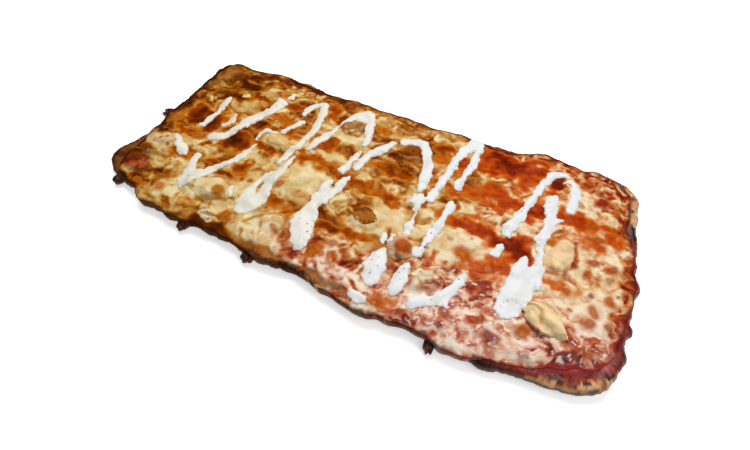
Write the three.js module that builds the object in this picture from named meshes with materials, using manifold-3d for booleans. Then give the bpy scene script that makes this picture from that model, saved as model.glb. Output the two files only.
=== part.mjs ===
import * as THREE from 'three';
import { mergeVertices } from 'three/addons/utils/BufferGeometryUtils.js';
import Module from 'manifold-3d';

// An oblong flatbread pizza: a baked crust with burnt drips at its sides, a thin layer of tomato sauce,
// melted cheese carrying a thick white drizzle, and chunks of chicken bedded in the cheese.
// Millimetres. +X runs along the bread, +Z is up, and the origin is on the underside below the middle.

const wasm = await Module();
wasm.setup();

// Driving dimensions
const breadLength = 350;
const breadWidth = 153;
const doughHeight = 7;
const rimHeight = 8.8;
const endRise = 0.9;
const sauceHeight = 0.7;
const cheeseHeight = 2.5;
const cheeseEdgeHeight = 0.9;
const drizzleHeight = 1.9;
const drizzleRoot = 1.3;
const chunkBedding = 0.8;
const chunkSquareness = 0.72;
const gap = 0.3;

// Mesh fineness
const breadSteps = 108;
const layerSteps = 84;
const cheeseCell = 7.6;
const drizzleStep = 7;

const halfLength = breadLength / 2;
const halfWidth = breadWidth / 2;
const sauceFloor = doughHeight + gap;
const sauceTop = sauceFloor + sauceHeight;
const cheeseFloor = sauceTop + gap;
const chunkFloor = cheeseFloor + chunkBedding;
const highestPoint = 30;

// Outlines seen from above, as corners with x, y and the length that the rounding takes off each side
const breadCorners = [
  [5 - halfLength, 12.5 - halfWidth, 14],
  [47 - halfLength, 2 - halfWidth, 18],
  [halfLength - 63, -1 - halfWidth, 25],
  [halfLength, 9 - halfWidth, 23],
  [halfLength + 1, -6, 18],
  [halfLength - 8.5, halfWidth - 7, 14],
  [halfLength - 36, halfWidth + 3.5, 11],
  [halfLength - 57, halfWidth - 4, 7],
  [-50, halfWidth - 4.2, 30],
  [5 - halfLength, halfWidth - 1.3, 21],
];
const sauceCorners = [
  [14 - halfLength, 17 - halfWidth, 12],
  [49 - halfLength, 6 - halfWidth, 18],
  [halfLength - 63, 3 - halfWidth, 25],
  [halfLength - 5, 12 - halfWidth, 22],
  [halfLength - 5, -6, 16],
  [halfLength - 15, halfWidth - 15, 12],
  [halfLength - 40, halfWidth - 6, 13],
  [13 - halfLength, halfWidth - 10, 17],
];
const cheeseCorners = [
  [11 - halfLength, 16 - halfWidth, 12],
  [47 - halfLength, 0.5 - halfWidth, 14],
  [halfLength - 60, -1 - halfWidth, 22],
  [halfLength - 10, 23 - halfWidth, 8],
  [halfLength - 2, 38 - halfWidth, 8],
  [halfLength - 1.5, -5, 18],
  [halfLength - 14.5, halfWidth - 12.5, 12],
  [halfLength - 37, halfWidth + 1, 12],
  [halfLength - 60, halfWidth - 5, 8],
  [-50, halfWidth - 7, 30],
  [9 - halfLength, halfWidth - 5.5, 17],
];

// Places where an outline bulges or is notched: x, y, how far out and how wide
const breadLumps = [
  [5 - halfLength, -49, 7.4, 12],
  [5 - halfLength, 59, 2.2, 4],
  [5 - halfLength, -11, -1.2, 8],
  [-164, halfWidth - 4, -2.4, 6],
  [-109, halfWidth - 3, 3.5, 13],
  [-84, halfWidth - 3, 3.2, 12],
  [28, halfWidth - 4, -2.5, 12],
  [74, halfWidth - 4, 1.3, 6],
  [102.5, halfWidth - 3, 6, 9],
  [115.5, halfWidth - 3, 3.6, 5.5],
  [-138, 4 - halfWidth, -2.2, 7],
  [-66, -halfWidth, 1.2, 11],
  [-42, -halfWidth, -0.9, 7],
  [21, -halfWidth, -1.5, 8],
  [43, -2 - halfWidth, 4.4, 10],
  [64, -halfWidth, -1.4, 8],
  [116, -halfWidth, 2.2, 6],
  [130, halfWidth, -2.2, 4],
  [halfLength - 7.5, 38, -1.2, 6],
  [halfLength + 1, -26.5, 3.2, 3.5],
  [halfLength + 1, -41, 2.4, 5],
  [halfLength, 0.5, 2.2, 4],
];
const cheeseLumps = [
  [-125, -halfWidth, 3, 6],
  [42, -halfWidth, 4, 11],
  [-60, -halfWidth, -2, 12],
  [-5, -halfWidth, -1.5, 9],
  [78, halfWidth - 5, -5, 12],
  [104, halfWidth - 5, 5.5, 9],
  [115.5, halfWidth - 5, 2.2, 5],
  [30, halfWidth - 5, -2.8, 12],
  [130, halfWidth - 1, -2, 4],
  [-140, 5 - halfWidth, -2.4, 8],
  [-109, halfWidth - 8, 3.5, 13],
  [8 - halfLength, -22, -3, 9],
  [halfLength - 12, 35, -3, 8],
];

// Burnt drips that ran over the side: x, y, direction in degrees, reach, half width and height
const drips = [
  [-157, -64, -96, 8, 3.6, 5.2],
  [-87.5, -71, -88, 10, 3.8, 5.5],
  [-34.5, -71, -85, 11, 4.4, 5.6],
  [85.5, -72, -80, 11, 3.4, 5],
  [-167, 1.5, 184, 11.5, 5.2, 6],
  [124, 71, 75, 6.5, 3, 5],
];

// Swells and hollows of the cheese: x, y, length, width and height
const cheeseMounds = [
  [-35, -20, 28, 36, 2.8],
  [112, 11, 15, 18, 1.7],
  [-107, 36, 14, 10, 1.2],
  [-127, 28, 16, 12, 1.2],
  [97, 15, 12, 10, 1],
  [55, -5, 12, 17, 1.2],
  [40, 62, 16, 10, 0.8],
  [-33, 35, 22, 14, 1],
  [150, 30, 20, 14, 0.7],
  [100, -62, 24, 12, 0.6],
  [-149, -53, 16, 15, -1.5],
  [-146, 54, 12, 9, -1.1],
  [-78, -24, 14, 12, -0.9],
  [85, 52, 30, 14, -1.1],
  [15, -40, 40, 9, -0.8],
  [-40, -41, 24, 8, -0.8],
  [62, -61, 9, 7, -0.9],
];

// Melted relief of the cheese, as waves: x and y rate per millimetre, phase and height
const cheeseWaves = [
  [0.31, 0.12, 0.4, 0.24],
  [-0.17, 0.36, 2.1, 0.22],
  [0.42, -0.29, 4, 0.17],
  [0.11, 0.47, 5.3, 0.16],
];

// Strokes of the drizzle, as points with x, y and width
const strokes = [
  [[-132.5, 32.5, 5], [-131.5, 19.5, 6.5], [-130.5, 11.5, 4.5], [-132.5, -1, 5]],
  [[-88, 54, 7], [-91, 42, 11], [-94, 31.5, 9], [-98, 23.5, 8], [-102, 14.5, 9], [-105, 4, 6],
    [-117, -10, 8]],
  [[-116, 17.5, 5], [-115, 4, 4.5]],
  [[-82.5, -2, 3], [-85.5, -20, 6], [-90, -28, 5], [-97, -39.5, 8], [-103, -47.5, 15], [-105, -55.5, 9]],
  [[-115, -28, 5], [-112, -37.5, 7], [-106, -46.5, 9]],
  [[-50, 0, 3], [-50, -12, 6], [-52.5, -22, 13], [-53.5, -31.5, 13], [-53.5, -42.5, 20], [-54.5, -54.5, 13]],
  [[-55.5, 5.5, 5], [-56, -10, 4.5]],
  [[-67.5, 37.5, 5], [-68.5, 46, 6], [-63.5, 53, 7], [-57.5, 52, 7], [-54, 42, 6.5], [-51.5, 27.5, 6],
    [-52.5, 7.5, 5]],
  [[-64.5, 31.5, 6], [-68.5, 22.5, 6], [-71.5, 15.5, 5]],
  [[-74.5, 13.5, 3], [-82.5, 11.5, 4], [-85.5, 4, 3.5]],
  [[-36, 39.5, 3], [-34, 49, 5], [-29, 55, 9], [-23, 58, 11], [-16.5, 47, 6.5], [-11.5, 35.5, 6],
    [-10.5, 28.5, 4.5]],
  [[-11, 23.5, 5], [-12, 15.5, 4], [-12.5, 2, 7]],
  [[-38, 37.5, 4], [-39, 28.5, 6], [-43, 19.5, 8], [-44, 8.5, 5.5]],
  [[7, 40, 4.5], [2.5, 31.5, 8], [-4.5, 21.5, 6.5], [-5.5, 6.5, 5]],
  [[-6.5, 0, 4.5], [-8, -12, 6], [-12.5, -24, 12], [-14.5, -34.5, 10], [-13.5, -43.5, 17], [-6.5, -61.5, 8]],
  [[-15.5, -9, 6], [-14.5, -20, 7]],
  [[12.5, 45, 7], [22, 48, 7], [30, 44, 7], [35, 34.5, 7], [39, 23.5, 8], [41, 9.5, 6]],
  [[43, 3, 12], [47, -12, 4], [47, -24, 6.5]],
  [[58.5, 66, 12], [53.5, 54, 8], [52, 39.5, 5.5], [51, 22.5, 6], [50, 5.5, 7]],
  [[63, 61, 6], [62.5, 51, 7], [63.5, 42, 5.5], [61.5, 22.5, 7]],
  [[63.5, 8.5, 6], [63, -5, 4.5], [62, -17, 7], [60, -31.5, 6]],
  [[41, -44.5, 9], [41.5, -54.5, 14], [42.5, -62.5, 9]],
  [[57, -43.5, 6], [57.5, -53.5, 9.5], [57.5, -62.5, 7]],
  [[38, -73, 7], [44, -73, 7]],
  [[88, -35.5, 5], [86.5, -45.5, 6], [83.5, -54.5, 8], [75.5, -58.5, 5], [68.5, -63.5, 8]],
  [[101, 0, 6], [103, 12.5, 7], [105, 25.5, 6], [108.5, 40, 6.5], [111, 54, 6], [117, 61.5, 5.5],
    [123, 60, 5]],
  [[123.5, 55.5, 4], [128.5, 53, 6.5], [130.5, 43, 6.5], [130.5, 33.5, 5]],
  [[119, 41, 6], [119, 31.5, 8], [122, 19.5, 8], [120.5, 5.5, 5], [122, -10, 7], [120, -19, 16],
    [115, -44.5, 12]],
  [[99.5, -7, 6], [99, -15, 7]],
];

// Chicken chunks: x, y, length, width, height, turn in degrees and icosahedron detail
const chunks = [
  [-146, -31, 28, 19, 5.5, 8, 2],
  [-84.5, -49, 33, 20, 6.5, 4, 2],
  [-73.5, -67, 16, 9, 4, -15, 1],
  [-68, 6, 24, 13, 5, 6, 1],
  [-25.5, 41.5, 17, 13, 5, 30, 1],
  [-102, 47, 15, 13, 4.5, 20, 1],
  [-121.5, 37, 9, 6, 3.5, 0, 1],
  [48.5, -35, 16, 17, 6.5, 25, 1],
  [132, -1, 17, 26, 5, -8, 2],
  [135.5, -41.5, 26, 18, 7.5, -25, 2],
  [127.5, -24.5, 7, 6, 3.5, 0, 1],
  [22.5, 28.5, 23, 16, 4.5, 10, 1],
  [20.5, -24.5, 18, 14, 4.5, 0, 1],
  [-29, -52.5, 17, 13, 4, 20, 1],
  [70, -47, 16, 12, 4.5, 35, 1],
  [124, 48, 6, 8, 3, 0, 1],
];

const { smoothstep, clamp, degToRad } = THREE.MathUtils;

// A closed outline of straight sides and rounded corners, as evenly spaced points
function roundedOutline(corners, steps) {
  const path = new THREE.Path();
  corners.forEach(([x, y, cut], i) => {
    const corner = new THREE.Vector2(x, y);
    const [beforeX, beforeY] = corners.at(i - 1);
    const [afterX, afterY] = corners[(i + 1) % corners.length];
    const start = new THREE.Vector2(beforeX, beforeY).sub(corner).setLength(cut).add(corner);
    const end = new THREE.Vector2(afterX, afterY).sub(corner).setLength(cut).add(corner);
    if (i === 0) path.moveTo(start.x, start.y);
    else path.lineTo(start.x, start.y);
    path.quadraticCurveTo(x, y, end.x, end.y);
  });
  path.closePath();
  return path.getSpacedPoints(steps).slice(0, -1);
}

// Outward direction at each point of a counter-clockwise outline
function outwardNormals(points) {
  return points.map((point, i) => {
    const along = points[(i + 1) % points.length].clone().sub(points.at(i - 1)).normalize();
    return new THREE.Vector2(along.y, -along.x);
  });
}

// Height of a set of round lumps at a place
function lumpSum(lumps, x, y) {
  let sum = 0;
  for (const [lumpX, lumpY, height, spread] of lumps) {
    sum += height * Math.exp(-((x - lumpX) ** 2 + (y - lumpY) ** 2) / spread ** 2);
  }
  return sum;
}

// An outline with its lumps, a slight unevenness and an inset; the lumps fade out as the inset grows
function unevenOutline(base, normals, lumps, ripple, inset) {
  const lumpFade = 1 - smoothstep(inset, 0, 11);
  return base.map((point, i) => {
    const turn = 2 * Math.PI * i / base.length;
    const wobble = ripple * (Math.sin(14 * turn) + Math.sin(23 * turn + 2));
    const out = lumpFade * (lumpSum(lumps, point.x, point.y) + wobble) - inset;
    return point.clone().addScaledVector(normals[i], out);
  });
}

// Distance from a place to an outline, positive inside
function depthInside(outline, x, y) {
  let nearest = Infinity;
  let inside = false;
  for (let i = 0, j = outline.length - 1; i < outline.length; j = i++) {
    const a = outline[j];
    const b = outline[i];
    const sideX = b.x - a.x;
    const sideY = b.y - a.y;
    const along = clamp(((x - a.x) * sideX + (y - a.y) * sideY) / (sideX ** 2 + sideY ** 2), 0, 1);
    nearest = Math.min(nearest, Math.hypot(x - a.x - along * sideX, y - a.y - along * sideY));
    if (a.y > y !== b.y > y && x < a.x + (y - a.y) * sideX / sideY) inside = !inside;
  }
  return inside ? nearest : -nearest;
}

function toSolid(geometry) {
  const bare = geometry.clone();
  bare.deleteAttribute('normal');
  bare.deleteAttribute('uv');
  const merged = mergeVertices(bare, 1e-4);
  return new wasm.Manifold(new wasm.Mesh({
    numProp: 3,
    vertProperties: merged.attributes.position.array,
    triVerts: new Uint32Array(merged.index.array),
  }));
}

function toGeometry(solid) {
  const mesh = solid.getMesh();
  const geometry = new THREE.BufferGeometry();
  geometry.setAttribute('position', new THREE.BufferAttribute(mesh.vertProperties, mesh.numProp));
  geometry.setIndex(new THREE.BufferAttribute(mesh.triVerts, 1));
  geometry.computeVertexNormals();
  return geometry;
}

// The largest body of a solid, without the scraps that a cut leaves
function largestBody(solid) {
  return solid.decompose().reduce((best, body) => (body.volume() > best.volume() ? body : best));
}

// A closed skin through rings of points, with the same flat cap on the last and the first ring
function loft(rings, capFaces) {
  const count = rings[0].length;
  const triangles = [];
  for (let j = 0; j < rings.length - 1; j++) {
    for (let i = 0; i < count; i++) {
      const a = j * count + i;
      const b = j * count + (i + 1) % count;
      triangles.push(a, b, b + count, a, b + count, a + count);
    }
  }
  const last = (rings.length - 1) * count;
  for (const [a, b, c] of capFaces) triangles.push(a + last, b + last, c + last, c, b, a);
  const geometry = new THREE.BufferGeometry().setFromPoints(rings.flat());
  geometry.setIndex(triangles);
  return geometry;
}

// Crust: a flat underside, a bulging side, a puffed rim and a flat bed inside it
const breadBase = roundedOutline(breadCorners, breadSteps);
const breadNormals = outwardNormals(breadBase);
const breadOutline = unevenOutline(breadBase, breadNormals, breadLumps, 0.35, 0);

function rimTop(x, y) {
  const puff = 0.35 * Math.sin(x * 0.19 + 1) * Math.cos(y * 0.16);
  return rimHeight + endRise * smoothstep(Math.abs(x), 140, 168) + puff;
}

// The rim's section, as inset from the outline and share of the rim's height; the last point is on the bed
const rimSection = [
  [4.6, 0], [2.2, 0.13], [0.3, 0.45], [0.8, 0.76], [2.4, 0.94], [4.4, 1], [7, 0.9], [10, 0],
];

function rimLevel([, share], x, y, isBed) {
  return isBed ? doughHeight : share * rimTop(x, y);
}

function crustGeometry(grow) {
  const rings = rimSection.map((station, j) => {
    const isBed = j === rimSection.length - 1;
    const ring = unevenOutline(breadBase, breadNormals, breadLumps, 0.35, station[0] - grow);
    const lift = j === 0 ? -grow : grow;
    return ring.map(({ x, y }) => new THREE.Vector3(x, y, rimLevel(station, x, y, isBed) + lift));
  });
  const cap = THREE.ShapeUtils.triangulateShape(rings[0], []);
  return loft(rings, cap);
}

// Height of the crust's upper face at a place, from the rim's section
function crustTop(x, y) {
  const depth = depthInside(breadOutline, x, y);
  const bed = rimSection.length - 1;
  if (depth >= rimSection[bed][0]) return doughHeight;
  for (let j = bed; j > 2; j--) {
    const [outer] = rimSection[j - 1];
    const [inner] = rimSection[j];
    if (depth < outer) continue;
    const high = rimLevel(rimSection[j - 1], x, y, false);
    const low = rimLevel(rimSection[j], x, y, j === bed);
    return high + (low - high) * (depth - outer) / (inner - outer);
  }
  return 0.5 * rimHeight;
}

function dripSolid([x, y, direction, reach, halfSpan, height]) {
  const geometry = new THREE.IcosahedronGeometry(1, 1);
  geometry.scale(reach / 2 + 2, halfSpan, height / 2);
  geometry.translate(reach / 2 - 2, 0, 0.6 + height / 2);
  geometry.rotateZ(degToRad(direction));
  geometry.translate(x, y, 0);
  return toSolid(geometry);
}

const crustSolid = drips.reduce((solid, drip) => solid.add(dripSolid(drip)), toSolid(crustGeometry(0)));
const grownCrust = toSolid(crustGeometry(gap));

// Tomato sauce: a thin slab on the bed, up to the rim's inner slope
function extruded(outline, floor, top) {
  const settings = { depth: top - floor, bevelEnabled: false };
  const geometry = new THREE.ExtrudeGeometry(new THREE.Shape(outline), settings);
  geometry.translate(0, 0, floor);
  return toSolid(geometry);
}

const sauceBase = roundedOutline(sauceCorners, layerSteps);
const sauceOutline = unevenOutline(sauceBase, outwardNormals(sauceBase), [], 0.5, 0);
const sauceSolid = largestBody(extruded(sauceOutline, doughHeight, sauceTop).subtract(grownCrust));

// Cheese: a melted layer with swells and hollows, thin at its edge and lying over the rim
const cheeseBase = roundedOutline(cheeseCorners, layerSteps);
const cheeseOutline = unevenOutline(cheeseBase, outwardNormals(cheeseBase), cheeseLumps, 0.7, 0);

function cheeseRelief(x, y) {
  let relief = 0;
  for (const [rateX, rateY, phase, height] of cheeseWaves) {
    relief += height * Math.sin(rateX * x + rateY * y + phase);
  }
  for (const [moundX, moundY, length, width, height] of cheeseMounds) {
    const spread = ((x - moundX) / length) ** 2 + ((y - moundY) / width) ** 2;
    relief += height * Math.exp(-4 * spread);
  }
  return relief;
}

function cheeseTop(x, y) {
  const swell = smoothstep(depthInside(cheeseOutline, x, y), 0, 9);
  const thickening = cheeseHeight - cheeseEdgeHeight + cheeseRelief(x, y);
  const onBed = cheeseFloor + cheeseEdgeHeight + swell * Math.max(thickening, 0);
  const onRim = crustTop(x, y) + gap + cheeseEdgeHeight;
  return Math.max(onBed, onRim);
}

function cheeseSlab() {
  const cellsX = Math.round((breadLength + 20) / cheeseCell);
  const cellsY = Math.round((breadWidth + 16) / cheeseCell);
  const geometry = new THREE.BoxGeometry(breadLength + 20, breadWidth + 16, 2, cellsX, cellsY, 1);
  const position = geometry.attributes.position;
  for (let i = 0; i < position.count; i++) {
    const level = position.getZ(i) > 0 ? cheeseTop(position.getX(i), position.getY(i)) : doughHeight;
    position.setZ(i, level);
  }
  return toSolid(geometry);
}

// Drizzle: a low rounded ribbon along each stroke, rooted in the cheese, with blunt ends
const drizzleSection = [[-1, 0], [1, 0], [0.62, 1], [-0.62, 1]];
const drizzleCap = [[0, 1, 2], [0, 2, 3]];

function drizzleSolid(stroke) {
  const curve = new THREE.CatmullRomCurve3(stroke.map(([x, y, width]) => new THREE.Vector3(x, y, width)));
  const steps = Math.max(2, Math.round(curve.getLength() / drizzleStep));
  const rings = [];
  for (let k = 0; k <= steps; k++) {
    const { x, y, z: width } = curve.getPointAt(k / steps);
    const along = curve.getTangentAt(k / steps).setZ(0).normalize();
    const endShare = k === 0 || k === steps ? 0.5 : 1;
    const level = cheeseTop(x, y) - drizzleRoot;
    const rise = drizzleRoot + drizzleHeight * (k === 0 || k === steps ? 0.6 : 1);
    rings.push(drizzleSection.map(([side, share]) => {
      const offset = side * endShare * width / 2;
      return new THREE.Vector3(x - along.y * offset, y + along.x * offset, level + share * rise);
    }));
  }
  return toSolid(loft(rings, drizzleCap));
}

// Chicken: torn, boxy chunks with a flat base, each uneven in its own way
function squared(share) {
  return Math.sign(share) * Math.abs(share) ** chunkSquareness;
}

function chunkGeometry([x, y, length, width, height, turn, detail], index, grow) {
  const ball = new THREE.IcosahedronGeometry(1, detail).deleteAttribute('normal').deleteAttribute('uv');
  const geometry = mergeVertices(ball);
  const position = geometry.attributes.position;
  const vertex = new THREE.Vector3();
  for (let i = 0; i < position.count; i++) {
    vertex.fromBufferAttribute(position, i);
    const knobsX = Math.sin(3.6 * vertex.y + 1.7 * index) + Math.sin(5.2 * vertex.z + index);
    const knobsY = Math.sin(3.9 * vertex.x + 2.3 * index) + Math.sin(4.7 * vertex.z + 2 * index);
    const knobsZ = Math.sin(4.4 * vertex.x + index) + Math.sin(3.8 * vertex.y + 2.9 * index);
    const level = clamp(0.4 + 0.6 * squared(vertex.z) + 0.09 * knobsZ * (vertex.z + 0.5), 0, 1.1);
    position.setXYZ(
      i,
      squared(vertex.x) * ((0.94 + 0.07 * knobsX) * length / 2 + grow),
      squared(vertex.y) * ((0.94 + 0.07 * knobsY) * width / 2 + grow),
      level * (height + 2 * grow) - grow,
    );
  }
  geometry.rotateZ(degToRad(turn));
  geometry.translate(x, y, chunkFloor);
  return geometry;
}

const grownChunks = chunks.map((chunk, index) => toSolid(chunkGeometry(chunk, index, gap)));
const drizzledSlab = strokes.reduce(
  (solid, stroke) => solid.add(drizzleSolid(stroke)),
  cheeseSlab().intersect(extruded(cheeseOutline, cheeseFloor, highestPoint)),
);
const cheeseSolid = largestBody(grownChunks.reduce(
  (solid, chunk) => solid.subtract(chunk),
  drizzledSlab.subtract(grownCrust),
));

// The pieces, each with its own baked or melted finish
const pizza = new THREE.Group();

function addPiece(name, geometry, color, roughness) {
  const material = new THREE.MeshStandardMaterial({ color, roughness, metalness: 0 });
  const mesh = new THREE.Mesh(geometry, material);
  mesh.name = name;
  pizza.add(mesh);
}

addPiece('crust', toGeometry(crustSolid), 0x7d4a1f, 0.75);
addPiece('tomato_sauce', toGeometry(sauceSolid), 0x8c2410, 0.35);
addPiece('cheese', toGeometry(cheeseSolid), 0xd8a45c, 0.35);
chunks.forEach((chunk, index) => {
  const name = `chicken_${String(index + 1).padStart(2, '0')}`;
  addPiece(name, chunkGeometry(chunk, index, 0), 0xd2b27e, 0.5);
});

export default pizza;
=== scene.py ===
import math
import random

import bmesh
import bpy
import numpy as np
from mathutils import Matrix, Vector
from mathutils.bvhtree import BVHTree
from mathutils.kdtree import KDTree


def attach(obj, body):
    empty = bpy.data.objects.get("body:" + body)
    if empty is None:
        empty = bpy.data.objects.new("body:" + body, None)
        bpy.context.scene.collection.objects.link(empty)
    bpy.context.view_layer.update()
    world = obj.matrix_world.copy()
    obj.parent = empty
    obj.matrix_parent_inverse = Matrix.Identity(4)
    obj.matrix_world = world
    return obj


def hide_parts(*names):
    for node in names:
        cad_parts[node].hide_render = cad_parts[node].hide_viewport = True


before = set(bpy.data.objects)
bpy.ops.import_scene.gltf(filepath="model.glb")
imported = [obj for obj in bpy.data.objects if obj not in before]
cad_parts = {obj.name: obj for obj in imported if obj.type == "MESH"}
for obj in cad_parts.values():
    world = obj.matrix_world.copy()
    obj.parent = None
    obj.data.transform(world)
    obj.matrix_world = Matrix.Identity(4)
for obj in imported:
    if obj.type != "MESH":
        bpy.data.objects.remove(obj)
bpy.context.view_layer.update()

# A flatbread pizza with buffalo sauce, chicken and a white drizzle. Places are in millimetres, as on the
# solids: +X along the bread, +Z up, the origin on the underside. Meshes are written in metres.
mm = 0.001
halfLength = 175.0
halfWidth = 76.5
gap = 0.3

# Heights of the layers, as the solids have them
layers = {
    "doughTop": 7.0,
    "rimTop": 8.8,
    "endRise": 0.9,
    "sauceTop": 8.0,
    "cheeseFloor": 8.3,
    "cheeseThick": 2.5,
    "cheeseEdge": 0.9,
    "chunkFloor": 9.1,
}
rimUsual = 9.0  # a rim of this height has the shares that the section gives


# Colours from the usual 0 to 255 scale to the linear values that the shader works in
def toLinear(colours):
    shares = np.clip(colours, 0, 255) / 255
    return np.where(shares <= 0.04045, shares / 12.92, ((shares + 0.055) / 1.055) ** 2.4)


def tone(*colour):
    return (*(float(share) for share in toLinear(colour)), 1.0)


# Smooth random field of about -1 to 1, its lumps "size" mm apart: each corner of a lattice has a slope of
# its own, and the slopes are blended between the corners
def lumps(x, y, size, seed, stretch=1.0):
    angles = np.random.default_rng(seed).uniform(0, 2 * math.pi, (128, 128))
    slopeX = np.cos(angles)
    slopeY = np.sin(angles)
    acrossX = np.asarray(x) / (size * stretch) + 40.3
    acrossY = np.asarray(y) / size + 40.7
    cellX = np.floor(acrossX).astype(int)
    cellY = np.floor(acrossY).astype(int)
    partX = acrossX - cellX
    partY = acrossY - cellY
    easeX = partX ** 3 * (partX * (6 * partX - 15) + 10)
    easeY = partY ** 3 * (partY * (6 * partY - 15) + 10)

    def corner(stepX, stepY):
        at = ((cellX + stepX) % 128, (cellY + stepY) % 128)
        return slopeX[at] * (partX - stepX) + slopeY[at] * (partY - stepY)

    low = corner(0, 0) * (1 - easeX) + corner(1, 0) * easeX
    high = corner(0, 1) * (1 - easeX) + corner(1, 1) * easeX
    return 1.6 * (low * (1 - easeY) + high * easeY)


# The same with finer lumps on top
def grain(x, y, size, seed, octaves=3, stretch=1.0):
    total = 0
    reach = 0
    for octave in range(octaves):
        share = 0.5 ** octave
        total = total + share * lumps(x, y, size / 2 ** octave, seed + octave, stretch)
        reach += share
    return total / reach * 1.5


# 0 up to "low" and 1 from "high" on, with a soft step between them
def ease(value, low, high):
    share = np.clip((value - low) / (high - low), 0, 1)
    return share * share * (3 - 2 * share)


def turned(x, y, degrees):
    angle = math.radians(degrees)
    return x * math.cos(angle) - y * math.sin(angle), x * math.sin(angle) + y * math.cos(angle)


# Outlines seen from above: corners with x, y and the length that the rounding takes off each side
bread = {
    "corners": [
        (5 - halfLength, 12.5 - halfWidth, 14), (47 - halfLength, 2 - halfWidth, 18),
        (halfLength - 63, -1 - halfWidth, 25), (halfLength, 9 - halfWidth, 23),
        (halfLength + 1, -6, 18), (halfLength - 8.5, halfWidth - 7, 14),
        (halfLength - 36, halfWidth + 3.5, 11), (halfLength - 57, halfWidth - 4, 7),
        (-50, halfWidth - 4.2, 30), (5 - halfLength, halfWidth - 1.3, 21),
    ],
    # x, y, how far out and how wide
    "bulges": [
        (5 - halfLength, -49, 7.4, 12), (5 - halfLength, 59, 2.2, 4), (5 - halfLength, -11, -1.2, 8),
        (-164, halfWidth - 4, -2.4, 6), (-109, halfWidth - 3, 3.5, 13), (-84, halfWidth - 3, 3.2, 12),
        (28, halfWidth - 4, -2.5, 12), (74, halfWidth - 4, 1.3, 6), (102.5, halfWidth - 3, 6, 9),
        (115.5, halfWidth - 3, 3.6, 5.5), (-138, 4 - halfWidth, -2.2, 7), (-66, -halfWidth, 1.2, 11),
        (-42, -halfWidth, -0.9, 7), (21, -halfWidth, -1.5, 8), (43, -2 - halfWidth, 4.4, 10),
        (64, -halfWidth, -1.4, 8), (116, -halfWidth, 2.2, 6), (halfLength + 1, -26.5, 3.2, 3.5),
        (halfLength + 1, -41, 2.4, 5), (halfLength, 0.5, 2.2, 4), (130, halfWidth, -2.2, 4),
        (halfLength - 7.5, 38, -1.2, 6), (-5, -halfWidth - 1, 0.8, 6),
    ],
    "ripple": 0.35,
    "steps": 1400,
}
sauceLayer = {
    "corners": [
        (14 - halfLength, 17 - halfWidth, 12), (49 - halfLength, 6 - halfWidth, 18),
        (halfLength - 63, 3 - halfWidth, 25), (halfLength - 5, 12 - halfWidth, 22),
        (halfLength - 5, -6, 16), (halfLength - 15, halfWidth - 15, 12),
        (halfLength - 40, halfWidth - 6, 13), (13 - halfLength, halfWidth - 10, 17),
    ],
    "bulges": [],
    "ripple": 0.5,
    "steps": 600,
    "columns": 230,
    "rows": 95,
    "gridCorners": [(-165, -62), (166, -62), (160, 60), (-162, 63)],
}
cheeseLayer = {
    "corners": [
        (11 - halfLength, 16 - halfWidth, 12), (47 - halfLength, 0.5 - halfWidth, 14),
        (halfLength - 60, -1 - halfWidth, 22), (halfLength - 10, 23 - halfWidth, 8),
        (halfLength - 2, 38 - halfWidth, 8), (halfLength - 1.5, -5, 18),
        (halfLength - 14.5, halfWidth - 12.5, 12), (halfLength - 37, halfWidth + 1, 12),
        (halfLength - 60, halfWidth - 5, 8), (-50, halfWidth - 7, 30), (9 - halfLength, halfWidth - 5.5, 17),
    ],
    "bulges": [
        (-125, -halfWidth, 3, 6), (42, -halfWidth, 4, 11), (-60, -halfWidth, -2, 12),
        (-5, -halfWidth, -1.5, 9), (78, halfWidth - 5, -5, 12), (104, halfWidth - 5, 5.5, 9),
        (115.5, halfWidth - 5, 2.2, 5), (30, halfWidth - 5, -2.8, 12), (130, halfWidth - 1, -2, 4),
        (-140, 5 - halfWidth, -2.4, 8), (-109, halfWidth - 8, 3.5, 13), (8 - halfLength, -22, -3, 9),
        (halfLength - 12, 35, -3, 8),
    ],
    "ripple": 0.7,
    "steps": 900,
}


# A closed outline with its outward normals, evenly spaced
def outlineOf(shape, inset=0.0):
    curve = []
    corners = shape["corners"]
    for i, (x, y, cut) in enumerate(corners):
        corner = np.array((x, y), float)
        before = np.array(corners[i - 1][:2], float) - corner
        after = np.array(corners[(i + 1) % len(corners)][:2], float) - corner
        start = corner + before / np.linalg.norm(before) * cut
        end = corner + after / np.linalg.norm(after) * cut
        t = np.linspace(0, 1, 24)[:, None]
        curve.append((1 - t) ** 2 * start + 2 * t * (1 - t) * corner + t ** 2 * end)
    path = np.vstack(curve + [curve[0][:1]])
    run = np.concatenate(([0], np.cumsum(np.hypot(*np.diff(path, axis=0).T))))
    share = np.arange(shape["steps"]) / shape["steps"]
    base = np.column_stack([np.interp(share * run[-1], run, path[:, k]) for k in (0, 1)])
    along = np.roll(base, -1, axis=0) - np.roll(base, 1, axis=0)
    along /= np.linalg.norm(along, axis=1)[:, None]
    normals = np.column_stack((along[:, 1], -along[:, 0]))
    turn = 2 * math.pi * share
    wobble = shape["ripple"] * (np.sin(14 * turn) + np.sin(23 * turn + 2) + 0.5 * np.sin(61 * turn + 1))
    out = wobble + 0.5 * grain(base[:, 0], base[:, 1], 5, 11)
    for x, y, height, spread in shape["bulges"]:
        out += height * np.exp(-((base[:, 0] - x) ** 2 + (base[:, 1] - y) ** 2) / spread ** 2)
    fade = 1 - ease(inset, 0, 11)
    return base + normals * (fade * out - inset)[:, None], normals


def treeOf(points):
    tree = KDTree(len(points))
    for i, (x, y) in enumerate(points):
        tree.insert((x, y, 0), i)
    tree.balance()
    return tree


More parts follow.
